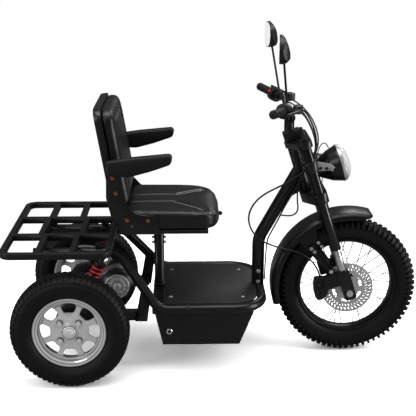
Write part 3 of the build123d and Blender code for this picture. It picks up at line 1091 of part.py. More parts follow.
arms = [Rot(0, number * 360 / DISC_ARMS, 0) * arm for number in range(DISC_ARMS)]
nodes["front_disc"] = FRONT_AXLE * (disc + carrier + arms)

# Cables: brake hose in two lengths that meet at the column's tie, then the other cables
nodes["brake_hose_upper"] = cord(HOSE_UPPER_ROUTE, HOSE_D)
nodes["brake_hose_lower"] = cord(HOSE_LOWER_ROUTE, HOSE_D)
nodes["column_cables"] = Part() + [cord(route, CABLE_D) for route in COLUMN_CABLE_ROUTES]
nodes["control_cable"] = cord(CONTROL_CABLE_ROUTE, CABLE_D)
nodes["lamp_leads"] = Part() + [cord(route, LEAD_D) for route in LAMP_LEAD_ROUTES]

# Stand the part with its origin under the middle of its box
X_ORIGIN = (RACK_REAR_X + WHEELBASE + FRONT_R) / 2
os.makedirs("parts", exist_ok=True)
for name, shape in nodes.items():
    export_step(Pos(-X_ORIGIN, 0, 0) * shape, f"parts/{name}.step")
    print(f"{name}: {len(shape.solids())} solids")
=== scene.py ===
# %% [markdown]
# # Electric tricycle
# The solids of this tricycle come from a CAD part. This lesson dresses them: cables, soft seat pads,
# tyres with tread, coil springs, grips, lamp and fittings, each made the way a modeller makes it by hand,
# then given a procedural finish and lit as in a photo studio.

# %% Load the frame
import json
import math
import bpy
from mathutils import Matrix, Vector


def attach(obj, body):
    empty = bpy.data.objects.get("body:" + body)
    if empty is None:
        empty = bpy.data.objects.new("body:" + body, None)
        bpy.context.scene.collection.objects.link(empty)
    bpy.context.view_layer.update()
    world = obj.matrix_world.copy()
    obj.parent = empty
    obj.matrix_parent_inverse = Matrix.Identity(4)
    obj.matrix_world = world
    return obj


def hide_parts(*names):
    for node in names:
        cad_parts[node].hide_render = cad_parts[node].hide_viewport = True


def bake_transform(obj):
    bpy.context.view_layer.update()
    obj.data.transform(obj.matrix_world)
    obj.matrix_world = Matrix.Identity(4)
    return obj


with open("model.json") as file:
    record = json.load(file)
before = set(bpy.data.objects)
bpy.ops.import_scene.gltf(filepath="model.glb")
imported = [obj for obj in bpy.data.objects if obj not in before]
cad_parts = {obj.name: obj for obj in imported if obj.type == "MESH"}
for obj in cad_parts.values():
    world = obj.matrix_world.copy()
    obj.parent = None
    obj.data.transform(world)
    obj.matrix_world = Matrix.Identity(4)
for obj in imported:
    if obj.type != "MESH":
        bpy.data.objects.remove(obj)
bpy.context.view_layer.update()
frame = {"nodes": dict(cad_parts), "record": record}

nodes = frame["nodes"]
X_ORIGIN = 566.2
WHEELBASE, FRONT_R = 1096, 286.4
REAR_R, REAR_Y = 227.5, 303
print(len(nodes), "solids loaded")

# %% [markdown]
# Small tools come first. Places are written in millimetres from the rear axle, as on a drawing, and
# turned into the scene's metres by one function. Each modelling step is an ordinary operator on one
# selected piece.

# %% Tools for modelling


def at(x, y, z):
    """Scene point of a place in millimetres, X forward from the rear axle."""
    return Vector(((x - X_ORIGIN) / 1000, y / 1000, z / 1000))


def only(*pieces):
    """Selects these pieces and nothing else."""
    bpy.ops.object.select_all(action="DESELECT")
    for piece in pieces:
        piece.select_set(True)
    bpy.context.view_layer.objects.active = pieces[0]


def edit(piece):
    """Opens a piece in edit mode with everything selected."""
    only(piece)
    bpy.ops.object.mode_set(mode="EDIT")
    bpy.ops.mesh.select_mode(type="VERT")
    bpy.ops.mesh.select_all(action="SELECT")


def leave():
    """Back to object mode."""
    bpy.ops.object.mode_set(mode="OBJECT")


def pick(piece, test, kind="FACE"):
    """Opens a piece in edit mode with the faces or vertices selected whose middle passes the test."""
    edit(piece)
    bpy.ops.mesh.select_mode(type=kind)
    bpy.ops.mesh.select_all(action="DESELECT")
    leave()
    if kind == "FACE":
        for face in piece.data.polygons:
            face.select = test(face.center)
    else:
        for vertex in piece.data.vertices:
            vertex.select = test(vertex.co)
    bpy.ops.object.mode_set(mode="EDIT")


def settle(piece, matrix=None):
    """Moves a piece into place and writes the place into its mesh."""
    bpy.context.view_layer.update()
    if matrix is not None:
        piece.matrix_world = matrix @ piece.matrix_world
    only(piece)
    bpy.ops.object.transform_apply(location=True, rotation=True, scale=True)
    return piece


def modify(piece, kind, **values):
    """Adds one modifier, sets it and applies it."""
    only(piece)
    modifier = piece.modifiers.new(kind.title(), kind)
    for key, value in values.items():
        setattr(modifier, key, value)
    bpy.ops.object.modifier_apply(modifier=modifier.name)
    return piece


def join(pieces):
    """Several pieces as one."""
    only(*pieces)
    if len(pieces) > 1:
        bpy.ops.object.join()
    return bpy.context.active_object


def drawn(points, close=True):
    """Outline drawn point by point: one vertex is extruded along it, then the loop is filled."""
    bpy.ops.object.select_all(action="DESELECT")
    bpy.ops.mesh.primitive_plane_add(size=0.01, location=points[0])
    piece = bpy.context.active_object
    edit(piece)
    bpy.ops.mesh.merge(type="CENTER")
    for before, here in zip(points, points[1:]):
        bpy.ops.mesh.extrude_vertices_move(TRANSFORM_OT_translate={"value": Vector(here) - Vector(before)})
    bpy.ops.mesh.select_all(action="SELECT")
    if close:
        bpy.ops.mesh.edge_face_add()
    leave()
    return settle(piece)


def slab(points, way):
    """A drawn outline pulled out along a vector."""
    piece = drawn(points)
    edit(piece)
    bpy.ops.mesh.extrude_region_move(TRANSFORM_OT_translate={"value": way})
    bpy.ops.mesh.select_all(action="SELECT")
    bpy.ops.mesh.normals_make_consistent(inside=False)
    leave()
    return piece


def lathe(rows, steps, axis="Z"):
    """A turned form: rows of (place along the axis, radius) in millimetres, spun round that axis."""
    if axis == "Z":
        points = [Vector((r / 1000, 0, h / 1000)) for h, r in rows]
        turn = (0, 0, 1)
    else:
        points = [Vector((0, h / 1000, r / 1000)) for h, r in rows]
        turn = (0, 1, 0)
    piece = drawn(points, close=False)
    edit(piece)
    bpy.ops.mesh.spin(steps=steps, angle=2 * math.pi, center=(0, 0, 0), axis=turn)
    bpy.ops.mesh.select_all(action="SELECT")
    bpy.ops.mesh.remove_doubles(threshold=0.00002)
    bpy.ops.mesh.normals_make_consistent(inside=False)
    leave()
    return piece


def facing(point, way):
    """Matrix that takes the Z axis to a way and the origin to a point."""
    return Matrix.Translation(point) @ Vector(way).to_track_quat("Z", "Y").to_matrix().to_4x4()


# %% [markdown]
# A material is a small circuit of nodes. The class below lets numbers in that circuit be added and
# multiplied like ordinary numbers, which keeps each finish to a few readable lines. All patterns read
# object coordinates, so they stay fixed to the piece when it moves.

# %% Tools for finishes


class Val:
    """A number inside a material: arithmetic on it adds Math nodes."""

    def __init__(self, tree, socket):
        self.tree = tree
        self.socket = socket

    def math(self, operation, first, second):
        node = self.tree.nodes.new("ShaderNodeMath")
        node.operation = operation
        for slot, value in zip(node.inputs, (first, second)):
            if isinstance(value, Val):
                self.tree.links.new(value.socket, slot)
            else:
                slot.default_value = value
        return Val(self.tree, node.outputs[0])

    def __add__(self, other):
        return self.math("ADD", self, other)

    def __radd__(self, other):
        return self.math("ADD", other, self)

    def __sub__(self, other):
        return self.math("SUBTRACT", self, other)

    def __rsub__(self, other):
        return self.math("SUBTRACT", other, self)

    def __mul__(self, other):
        return self.math("MULTIPLY", self, other)

    def __rmul__(self, other):
        return self.math("MULTIPLY", other, self)

    def __pow__(self, other):
        return self.math("POWER", self, other)

    def most(self, other):
        return self.math("MAXIMUM", self, other)

    def least(self, other):
        return self.math("MINIMUM", self, other)

    def above(self, edge):
        return self.math("GREATER_THAN", self, edge)

    def wave(self):
        return self.math("SINE", self, 0.0) * 0.5 + 0.5


class Look:
    """A Principled finish built up from patterns in object coordinates."""

    def __init__(self, name, **constants):
        self.material = bpy.data.materials.new(name)
        self.material.use_nodes = True
        self.tree = self.material.node_tree
        self.shader = self.tree.nodes["Principled BSDF"]
        self.place = self.tree.nodes.new("ShaderNodeTexCoord").outputs["Object"]
        for key, value in constants.items():
            self.shader.inputs[key.replace("_", " ")].default_value = value

    def stretched(self, stretch):
        node = self.tree.nodes.new("ShaderNodeVectorMath")
        node.operation = "MULTIPLY"
        self.tree.links.new(self.place, node.inputs[0])
        node.inputs[1].default_value = stretch
        return node.outputs[0]

    def noise(self, size, detail=2.0, stretch=(1, 1, 1)):
        """Cloudy pattern from 0 to 1 with lumps of a size in millimetres."""
        node = self.tree.nodes.new("ShaderNodeTexNoise")
        self.tree.links.new(self.stretched(stretch), node.inputs["Vector"])
        node.inputs["Scale"].default_value = 1000 / size
        node.inputs["Detail"].default_value = detail
        return Val(self.tree, node.outputs[0])

    def cells(self, size):
        """Pebbled pattern: 0 in the valleys between cells of a size in millimetres."""
        node = self.tree.nodes.new("ShaderNodeTexVoronoi")
        node.feature = "DISTANCE_TO_EDGE"
        self.tree.links.new(self.place, node.inputs["Vector"])
        node.inputs["Scale"].default_value = 1000 / size
        return Val(self.tree, node.outputs["Distance"])

    def ribs(self, size, axis="Y"):
        """Rounded ribs across an axis, spaced by a size in millimetres."""
        node = self.tree.nodes.new("ShaderNodeTexWave")
        node.bands_direction = axis
        self.tree.links.new(self.place, node.inputs["Vector"])
        node.inputs["Scale"].default_value = 1000 / size / 20 * math.pi
        return Val(self.tree, node.outputs["Fac"])

    def along(self, axis):
        """Place along one axis, in millimetres from the scene's middle."""
        node = self.tree.nodes.new("ShaderNodeSeparateXYZ")
        self.tree.links.new(self.place, node.inputs[0])
        return Val(self.tree, node.outputs[axis]) * 1000

    def aside(self):
        """Distance from the middle plane of the vehicle, in millimetres."""
        side = self.along("Y")
        return side.most(side * -1)

    def from_axle(self, axle):
        """Distance from a wheel's axle, in millimetres."""
        across = self.along("X") - axle.x * 1000
        up = self.along("Z") - axle.z * 1000
        return (across * across + up * up) ** 0.5

    def feed(self, name, value):
        self.tree.links.new(value.socket, self.shader.inputs[name])

    def tint(self, low, high, value):
        node = self.tree.nodes.new("ShaderNodeMix")
        node.data_type = "RGBA"
        node.inputs["A"].default_value = (*low, 1)
        node.inputs["B"].default_value = (*high, 1)
        self.tree.links.new(value.socket, node.inputs["Factor"])
        self.tree.links.new(node.outputs["Result"], self.shader.inputs["Base Color"])

    def bump(self, value, depth):
        """Relief of a depth in millimetres."""
        node = self.tree.nodes.new("ShaderNodeBump")
        node.inputs["Distance"].default_value = depth / 1000
        self.tree.links.new(value.socket, node.inputs["Height"])
        self.tree.links.new(node.outputs["Normal"], self.shader.inputs["Normal"])


def grey(value):
    """A neutral colour."""
    return (value, value, value * 1.04)


# %% [markdown]
# Almost everything on this tricycle is black, so the finishes have to differ in gloss and grain: satin
# paint on tubes, powder coat on the rack, pebbled vinyl on the seat, dull rubber, glossy fork legs.
# Metals get fine scratches or a cast grain.

# %% Finishes


def painted(name, dark, light, rough, grain, depth, **constants):
    """Paint or moulding: faint blotches, uneven gloss and a fine grain."""
    look = Look(name, **constants)
    cloud = look.noise(45)
    look.tint(grey(dark), grey(light), cloud)
    look.feed("Roughness", rough - 0.05 + look.noise(12) * 0.1)
    look.bump(look.noise(grain, 3), depth)
    return look.material


def pebbled(name, dark, light, rough, grain, depth, **constants):
    """Vinyl: soft pebbles with duller valleys, painted darker in the valleys as shade."""
    look = Look(name, **constants)
    pebbles = (look.cells(grain) * 3).least(1.0)
    # The valleys between pebbles are painted darker: painted shade.
    look.tint(grey(dark), grey(light), pebbles)
    look.feed("Roughness", rough + 0.12 - pebbles * 0.1 + look.noise(30) * 0.06)
    look.bump(pebbles + look.noise(60) * 1.5, depth)
    return look.material


def metal(name, colour, rough, grain, depth, stretch=(1, 1, 1), spread=0.08, shine=0.8, **constants):
    """Bare or plated metal: its colour, with scratches or grain in the gloss and relief."""
    look = Look(name, Metallic=shine, **constants)
    marks = look.noise(grain, 4, stretch)
    look.tint([c * 0.88 for c in colour], colour, look.noise(25))
    look.feed("Roughness", rough - spread / 2 + marks * spread)
    look.bump(marks, depth)
    return look.material


finish = {
    "frame_paint": painted("frame_paint", 0.004, 0.007, 0.3, 4, 0.02, Specular_IOR_Level=0.45),
    "deck_paint": painted("deck_paint", 0.006, 0.011, 0.55, 1.4, 0.12, Specular_IOR_Level=0.45),
    "rack_paint": painted("rack_paint", 0.003, 0.006, 0.48, 1.2, 0.05, Specular_IOR_Level=0.35),
    "seat_vinyl": pebbled("seat_vinyl", 0.003, 0.005, 0.24, 2.2, 0.06, Specular_IOR_Level=0.5),
    "armrest_vinyl": pebbled("armrest_vinyl", 0.003, 0.006, 0.4, 1.6, 0.05, Specular_IOR_Level=0.35),
    "seat_shell": painted("seat_shell", 0.005, 0.008, 0.28, 2, 0.02, Specular_IOR_Level=0.5),
    "black_plastic": painted("black_plastic", 0.005, 0.008, 0.4, 1, 0.03, Specular_IOR_Level=0.45),
    "tyre_rubber": painted("tyre_rubber", 0.002, 0.005, 0.55, 2, 0.06, Specular_IOR_Level=0.28),
    "cast_alloy": metal("cast_alloy", (0.34, 0.34, 0.35), 0.42, 1.3, 0.1),
    "chrome": metal("chrome", (0.86, 0.86, 0.87), 0.1, 3, 0.002, spread=0.06, shine=0.95),
    "bright_cast": metal("bright_cast", (0.8, 0.8, 0.81), 0.34, 1.3, 0.1, shine=0.6),
    "disc_steel": metal("disc_steel", (0.6, 0.6, 0.61), 0.22, 0.8, 0.006, shine=0.6),
    "spoke_steel": metal("spoke_steel", (0.03, 0.03, 0.032), 0.45, 0.8, 0.004, shine=0.2),
    "satin_ring": metal("satin_ring", (0.55, 0.55, 0.56), 0.34, 4, 0.004, shine=0.7),
    "steel": metal("steel", (0.7, 0.7, 0.71), 0.24, 0.8, 0.006, (0.25, 1, 1)),
    "brake_black": painted("brake_black", 0.006, 0.009, 0.38, 1.2, 0.05, Specular_IOR_Level=0.45),
    "fork_gloss": painted("fork_gloss", 0.003, 0.006, 0.16, 8, 0.01),
    "fender_gloss": painted("fender_gloss", 0.003, 0.006, 0.3, 3, 0.02, Specular_IOR_Level=0.35),
    "grip_rubber": painted("grip_rubber", 0.006, 0.011, 0.55, 1.5, 0.05, Specular_IOR_Level=0.4),
    "lamp_gloss": painted("lamp_gloss", 0.004, 0.008, 0.3, 8, 0.01),
    # The mirror face glows as well: painted reflection.
    "mirror_face": metal("mirror_face", (0.9, 0.9, 0.92), 0.05, 20, 0.0005, spread=0.02,
                         Emission_Color=(0.9, 0.93, 0.95, 1), Emission_Strength=0.75),
}


def coloured(name, low, high, rough, grain=3.0, metallic=0.0):
    """A plain coloured piece: paint, thread or copper."""
    look = Look(name, Metallic=metallic)
    look.tint(low, high, look.noise(10))
    look.feed("Roughness", rough - 0.05 + look.noise(4) * 0.1)
    look.bump(look.noise(grain, 3), 0.02)
    return look.material


def lens_finish():
    """Pale moulded lamp glass with upright flutes, painted lighter on their crests and darker in their
    grooves as light and shade.
    """
    look = Look("lamp_lens", Coat_Weight=0.1, Coat_Roughness=0.1, Emission_Color=(0.8, 0.82, 0.85, 1),
                Emission_Strength=0.14)
    flutes = look.ribs(11)
    # Light and shade along the flutes is painted into the colour.
    look.tint((0.36, 0.37, 0.38), (0.58, 0.59, 0.6), flutes * 0.7 + look.noise(50) * 0.3)
    look.feed("Roughness", 0.36 + look.noise(20) * 0.08)
    look.bump(flutes, 0.4)
    return look.material


NUT_OFF, LIP_R = 35.4, 101.0


def alloy_with_painted_light():
    """Wheel metal cut on a lathe, with fine rings; the light and dark steps of the lip are painted
    reflection, and the dark lines round the nuts and the cap are painted shade.
    """
    look = Look("polished_alloy", Metallic=0.45)
    radius = look.from_axle(at(0, 0, REAR_R))
    rings = (radius * 1.7).wave()
    lip = radius.above(LIP_R)
    steps = (radius * 0.62).wave()
    across = look.along("X") - at(0, 0, 0).x * 1000
    up = look.along("Z") - REAR_R
    across = across.most(across * -1) - NUT_OFF
    up = up.most(up * -1) - NUT_OFF
    from_nut = (across * across + up * up) ** 0.5
    round_nut = from_nut.above(9.5) * (1 - from_nut.above(13.5))
    round_cap = radius.above(25.5) * (1 - radius.above(29.0))
    shadow = round_nut.most(round_cap)
    # Painted reflection: light and dark steps on the lip. Painted shade: dark rings round the nuts and the
    # cap.
    face = lip * (0.3 + steps * 0.7) + (1 - lip) * (0.7 + look.noise(16) * 0.35 + rings * 0.1)
    look.tint((0.1, 0.1, 0.11), (1, 1, 1), face * (1 - shadow * 0.75))
    look.feed("Roughness", 0.1 + rings * 0.1)
    look.bump(rings, 0.05)
    return look.material


def bracket_finish():
    """Grey plates beside the lamp, black where the clamps go round the fork legs."""
    look = Look("lamp_bracket")
    look.tint(grey(0.26), grey(0.006), look.aside().above(84.0))
    look.feed("Roughness", 0.3 + look.noise(12) * 0.1)
    look.bump(look.noise(2, 3), 0.03)
    return look.material


finish["polished_alloy"] = alloy_with_painted_light()
finish["lamp_bracket"] = bracket_finish()
finish["lamp_lens"] = lens_finish()
finish["spring_red"] = coloured("spring_red", (0.36, 0.008, 0.008), (0.5, 0.014, 0.012), 0.26)
copper = coloured("copper_plate", (0.4, 0.17, 0.08), (0.55, 0.26, 0.14), 0.3, 2, 1.0)
thread = coloured("grey_thread", (0.4, 0.4, 0.41), (0.55, 0.55, 0.56), 0.7, 0.6)
red_cap = coloured("red_cap", (0.42, 0.01, 0.01), (0.55, 0.02, 0.02), 0.35)
print(len(finish), "finishes")


def hand_in(piece, name, body, slot, material=None, smooth=40, stands_for=()):
    """Names a finished piece, gives it its finish and tells which body carries it."""
    piece.name = name
    only(piece)
    bpy.ops.object.shade_smooth_by_angle(angle=math.radians(smooth))
    piece.data.materials.clear()
    piece.data.materials.append(material or finish[slot])
    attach(piece, body)
    if stands_for:
        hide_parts(*stands_for)
    print(name, "has", len(piece.data.polygons), "faces")
    return piece


# %% [markdown]
# The camera stands where the photographer stood: off the right side, a little above the seat, with a long
# lens so that the wheels stay nearly round.

# %% Camera
EYE = Vector((-0.11216, -3.47709, 1.67485))
TARGET = Vector((-0.0354, 0, 0.6133))
camera_data = bpy.data.cameras.new("camera")
camera_data.lens = 78.5
camera_data.sensor_width = 36.0
camera = bpy.data.objects.new("camera", camera_data)
camera.location = EYE
camera.rotation_euler = (TARGET - EYE).to_track_quat("-Z", "Y").to_euler()
bpy.context.scene.collection.objects.link(camera)
bpy.context.scene.camera = camera
print("camera", tuple(round(v, 3) for v in EYE))

# %% [markdown]
# Cables hang in easy curves between the handlebar and the frame. Each one follows a short list of points
# with a smooth NURBS curve, thickened to its real diameter. The ones that run from the fork to the frame
# are not tied to either body; the others go with the steering.

# %% Cables
HOSE_UPPER = [
    (871.6, -119.9, 1034.6), (884, -94, 1030), (903, -69, 1014), (922, -54, 984), (940, -48, 946),
    (950, -46, 905), (951, -46, 862), (939, -46, 820), (914, -46, 784), (878, -46, 752),
    (837, -44, 726), (795, -41, 704),
    (755, -40, 683), (720, -40, 654), (697, -40, 617), (690, -39, 577), (700, -36, 538), (720, -32, 506),
    (748, -29.5, 482)]
HOSE_LOWER = [
    (749.6, -29.8, 480.9), (783, -38, 467), (819, -60, 463), (858, -78, 459), (898, -84, 448),
    (930, -83, 428), (952, -77, 402), (967, -66, 378), (977, -57, 355), (984.8, -54, 330.8)]
COLUMN_CABLES = [
    [(833.1, -147.3, 1026.3), (848, -114, 1024), (872, -80, 1018), (896, -52, 1003), (916, -38, 974),
     (934, -32, 938), (947, -30, 900), (951, -32, 862), (941, -35, 826), (921, -37, 794), (900, -37, 756),
     (880, -34, 706), (850, -27, 652), (830, -21, 612), (812, -12, 566), (784, -3, 507), (765, 0, 462),
     (763.4, 0, 305)],
    [(838.7, 148.7, 1039.1), (853, 115, 1037), (878, 82, 1030), (908, 46, 1011), (934, 18, 981),
     (953, -2, 943), (963, -14, 903), (960, -21, 862), (944, -25, 824), (917, -27, 790),
     (895, -28, 757), (890, -29, 722),
     (884, -32, 686), (885, -31, 650), (890, -26, 617), (884, -20, 595), (866, -14, 583), (842, -6, 581),
     (818.3, 0, 582)]]
CONTROL_CABLE = [
    (833.1, 147.3, 1026.3), (848, 114, 1024), (874, 78, 1016), (902, 45, 998), (924, 31, 967), (943, 27, 930),
    (958, 25, 892), (962, 24, 855), (957, 23, 820), (946, 22, 786), (944, 22, 754), (954.4, 22, 728.7),
    (963.6, 22, 700.4)]
LAMP_LEADS = [
    [(1007.2, 8, 855.2), (1001, 9, 869), (989, 10, 877), (976, 11, 868), (968, 11, 848), (962, 11, 824),
     (953, 10, 803), (946, 10, 780)],
    [(985.7, 0, 736.2), (987, 1, 722), (981, 2, 712), (970, 4, 713), (959, 7, 724), (950, 10, 740)]]


def cable(name, routes, diameter):
    """A cable along each route, as one mesh of smooth tubes."""
    data = bpy.data.curves.new(name, "CURVE")
    data.dimensions = "3D"
    for route in routes:
        spline = data.splines.new("NURBS")
        spline.points.add(len(route) - 1)
        for point, place in zip(spline.points, route):
            point.co = (*at(*place), 1)
        spline.order_u = 3
        spline.use_endpoint_u = True
    data.resolution_u = 10
    data.bevel_depth = diameter / 2000
    data.bevel_resolution = 4
    data.use_fill_caps = True
    piece = bpy.data.objects.new(name, data)
    bpy.context.scene.collection.objects.link(piece)
    only(piece)
    bpy.ops.object.convert(target="MESH")
    piece = bpy.context.active_object
    piece.data.materials.clear()
    piece.data.materials.append(finish["black_plastic"])
    bpy.ops.object.shade_smooth_by_angle(angle=math.radians(50))
    print(name, "has", len(piece.data.polygons), "faces")
    return piece


hose_upper = cable("hose_upper", [HOSE_UPPER], 7)
hose_lower = cable("hose_lower", [HOSE_LOWER], 7)
column_pair = cable("column_cable_pair", COLUMN_CABLES, 6)
control = cable("control_cable_left", [CONTROL_CABLE], 6)
leads = cable("lamp_lead_pair", LAMP_LEADS, 4)
at(939, -46, 830)
at(720, -32, 520)
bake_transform(hose_upper)
at(765, -33, 475)
at(930, -83, 428)
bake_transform(hose_lower)
at(941, -30, 826)
at(845, -24, 610)
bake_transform(column_pair)
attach(control, "steering")
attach(leads, "steering")
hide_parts("brake_hose_upper")
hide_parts("brake_hose_lower")
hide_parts("column_cables")
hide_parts("control_cable")
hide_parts("lamp_leads")

# %% [markdown]
# A cushion is foam in a sewn skin. It is modelled as a plain block with rounded edges, remeshed into an
# even skin, held along its seams and blown up a little by cloth pressure. The seams stay down and the
# panels crown between them.

# %% Soft pads


def stuffed(piece, voxel, held, pressure, cap, soften):
    """Rounds the panels of a closed form between the seams that are held."""
    modify(piece, "REMESH", mode="VOXEL", voxel_size=voxel)
    modify(piece, "SMOOTH", factor=0.5, iterations=soften)
    before = [vertex.co.copy() for vertex in piece.data.vertices]
    group = piece.vertex_groups.new(name="seams")
    for vertex in piece.data.vertices:
        weight = held(vertex.co)
        if weight > 0:
            group.add([vertex.index], weight, "REPLACE")
    cloth = piece.modifiers.new("Cloth", "CLOTH")
    cloth.settings.quality = 5
    cloth.settings.tension_stiffness = 20
    cloth.settings.compression_stiffness = 20
    cloth.settings.use_pressure = True
    cloth.settings.uniform_pressure_force = pressure
    cloth.settings.vertex_group_mass = "seams"
    cloth.settings.effector_weights.gravity = 0
    cloth.collision_settings.use_collision = False
    cloth.point_cache.frame_end = 20
    for step in range(1, 21):
        bpy.context.scene.frame_set(step)
    only(piece)
    bpy.ops.object.modifier_apply(modifier="Cloth")
    bpy.context.scene.frame_set(1)
    far = 0.0
    for vertex, start in zip(piece.data.vertices, before):
        move = vertex.co - start
        far = max(far, move.length)
        if move.length > cap:
            vertex.co = start + move * (cap / move.length)
    modify(piece, "SMOOTH", factor=0.5, iterations=2)
    modify(piece, "SUBSURF", levels=1, render_levels=1)
    print("largest move", round(far * 1000, 1), "mm")
    return piece


def press(piece, test, way, reach):
    """Pushes the vertices that pass the test, with a soft fall-off round them."""
    pick(piece, test, "VERT")
    bpy.ops.transform.translate(value=way, use_proportional_edit=True, proportional_edit_falloff="SMOOTH",
                                proportional_size=reach)
    leave()


def near_line(value, line, reach):
    """1 on a line, falling to 0 at a reach beside it."""
    return max(0.0, 1 - abs(value - line) / reach)


CUSHION = {"rear": 206, "front": 577, "half": 202, "nose": 112}
SIDE_ROWS = [
    (206, 588), (548, 588), (566, 592), (576, 605), (575, 619), (562, 636), (535, 647), (490, 654),
    (400, 658), (300, 658), (206, 655)]
cushion = slab([at(x, -CUSHION["half"], z) for x, z in SIDE_ROWS], (0, 2 * CUSHION["half"] / 1000, 0))
root = CUSHION["front"] - CUSHION["nose"]
SQUARE = 0.6
plan_rows = [(CUSHION["rear"] - 5, CUSHION["half"])]
for turn in range(90, -91, -6):
    ahead, aside = math.cos(math.radians(turn)), math.sin(math.radians(turn))
    plan_rows.append((root + CUSHION["nose"] * max(ahead, 0) ** SQUARE,
                      math.copysign(CUSHION["half"] * abs(aside) ** SQUARE, aside)))
plan_rows.append((CUSHION["rear"] - 5, -CUSHION["half"]))
plan = slab([at(x, y, 540) for x, y in plan_rows], (0, 0, 0.15))
modify(cushion, "BOOLEAN", object=plan, operation="INTERSECT", solver="EXACT")
bpy.data.objects.remove(plan)
modify(cushion, "BEVEL", width=0.022, segments=5, limit_method="ANGLE", angle_limit=math.radians(50))
SEAM = [(200, 49), (401, 49), (509, 134), (560, 174)]
ROLL = [(200, 112), (330, 116), (420, 140), (560, 182)]


def line_y(rows, x):
    """Half the width between a pair of top lines, in millimetres, at a place along the seat."""
    for (x0, y0), (x1, y1) in zip(rows, rows[1:]):
        if x <= x1:
            return y0 + (y1 - y0) * (x - x0) / (x1 - x0)
    return rows[-1][1]


def side_line(x):
    """Height of the seam that falls towards the front on the cushion's side, in millimetres."""
    return 646 - 0.23 * (x - 318)


def on_top(co, rows, reach, front):
    """1 on a line of the cushion's top, falling to 0 at a reach beside it."""
    x = co.x * 1000 + X_ORIGIN
    return near_line(abs(co.y) * 1000, line_y(rows, x), reach) if co.z > 0.642 and x < front else 0


def on_side(co, reach):
    """1 on the side seam, falling to 0 at a reach beside it."""
    x = co.x * 1000 + X_ORIGIN
    return near_line(co.z * 1000, side_line(x), reach) if abs(co.y) > 0.16 and 330 < x < 545 else 0


def cushion_seams(co):
    """How firmly the skin is held at a place on the seat cushion."""
    foot = min(1.0, max(0.0, (602 - co.z * 1000) / 10))
    return max(on_top(co, SEAM, 9, 522), 0.6 * on_top(co, ROLL, 9, 500), 0.8 * on_side(co, 7), foot)


cushion = stuffed(cushion, 0.005, cushion_seams, 5.5, 0.022, 12)
press(cushion, lambda co: on_top(co, SEAM, 2.5, 518) > 0, (0, 0, -0.006), 0.015)
press(cushion, lambda co: on_top(co, ROLL, 2, 480) > 0, (0, 0, -0.002), 0.014)
for side in (-1, 1):
    press(cushion, lambda co: co.y * side > 0 and on_side(co, 2) > 0, (0, -side * 0.003, 0), 0.009)
modify(cushion, "SMOOTH", factor=0.5, iterations=2)
cushion = hand_in(cushion, "cushion_pad", "chassis", "seat_vinyl", smooth=60, stands_for=["seat_cushion"])

# %% [markdown]
# The back pad is sewn the same way, upright first and then leant back with the shell. Two long seams part
# the side bolsters from the flat middle, and a cross seam closes the middle at the top.

# %% Back pad
LEAN = Matrix.Translation(at(176, 0, 600)) @ Matrix.Rotation(math.radians(-9.3), 4, "Y")
bpy.ops.mesh.primitive_cube_add(size=1)
back_pad = bpy.context.active_object
back_pad.scale = (0.044, 0.394, 0.366)
back_pad.location = (0.0495, 0, 0.2625)
settle(back_pad)
edit(back_pad)
bpy.ops.mesh.select_mode(type="EDGE")
bpy.ops.mesh.select_all(action="DESELECT")
leave()
for edge in back_pad.data.edges:
    ends = [back_pad.data.vertices[i].co for i in edge.vertices]
    edge.select = all(end.z > 0.43 for end in ends) and abs(ends[0].y - ends[1].y) < 0.001
bpy.ops.object.mode_set(mode="EDIT")
bpy.ops.mesh.bevel(offset=0.05, segments=8, affect="EDGES")
leave()
pick(back_pad, lambda c: c.x > 0.07)
bpy.ops.mesh.bevel(offset=0.026, segments=6, affect="EDGES")
leave()
BOLSTER_Y = 0.125
CROSS_Z = 0.40


def bolster_line(z):
    """Half the width between the two long seams at a height on the back pad."""
    return BOLSTER_Y + 0.02 * max(0.0, (0.25 - z) / 0.2)


def back_seams(co):
    """How firmly the skin is held at a place on the back pad."""
    front = co.x > 0.05
    bolster = near_line(abs(co.y), bolster_line(co.z), 0.009) if front and co.z < CROSS_Z else 0
    cross = near_line(co.z, CROSS_Z, 0.009) if front and abs(co.y) < BOLSTER_Y else 0
    return min(1.0, max(bolster, cross, 1.0 if co.x < 0.032 else 0))


back_pad = stuffed(back_pad, 0.006, back_seams, 5.5, 0.02, 6)
press(back_pad, lambda co: co.x > 0.05 and co.z < CROSS_Z and abs(abs(co.y) - bolster_line(co.z)) < 0.0025,
      (-0.007, 0, 0), 0.016)
press(back_pad, lambda co: co.x > 0.05 and abs(co.z - CROSS_Z) < 0.0025 and abs(co.y) < BOLSTER_Y,
      (-0.006, 0, 0), 0.014)
settle(back_pad, LEAN)
back_pad = hand_in(back_pad, "back_pad", "chassis", "seat_vinyl", smooth=60, stands_for=["seat_back_cushion"])

# %% [markdown]
# The armrests are moulded foam: a tapered side outline pulled to its width, with generous round edges and
# a seam that runs round the side.

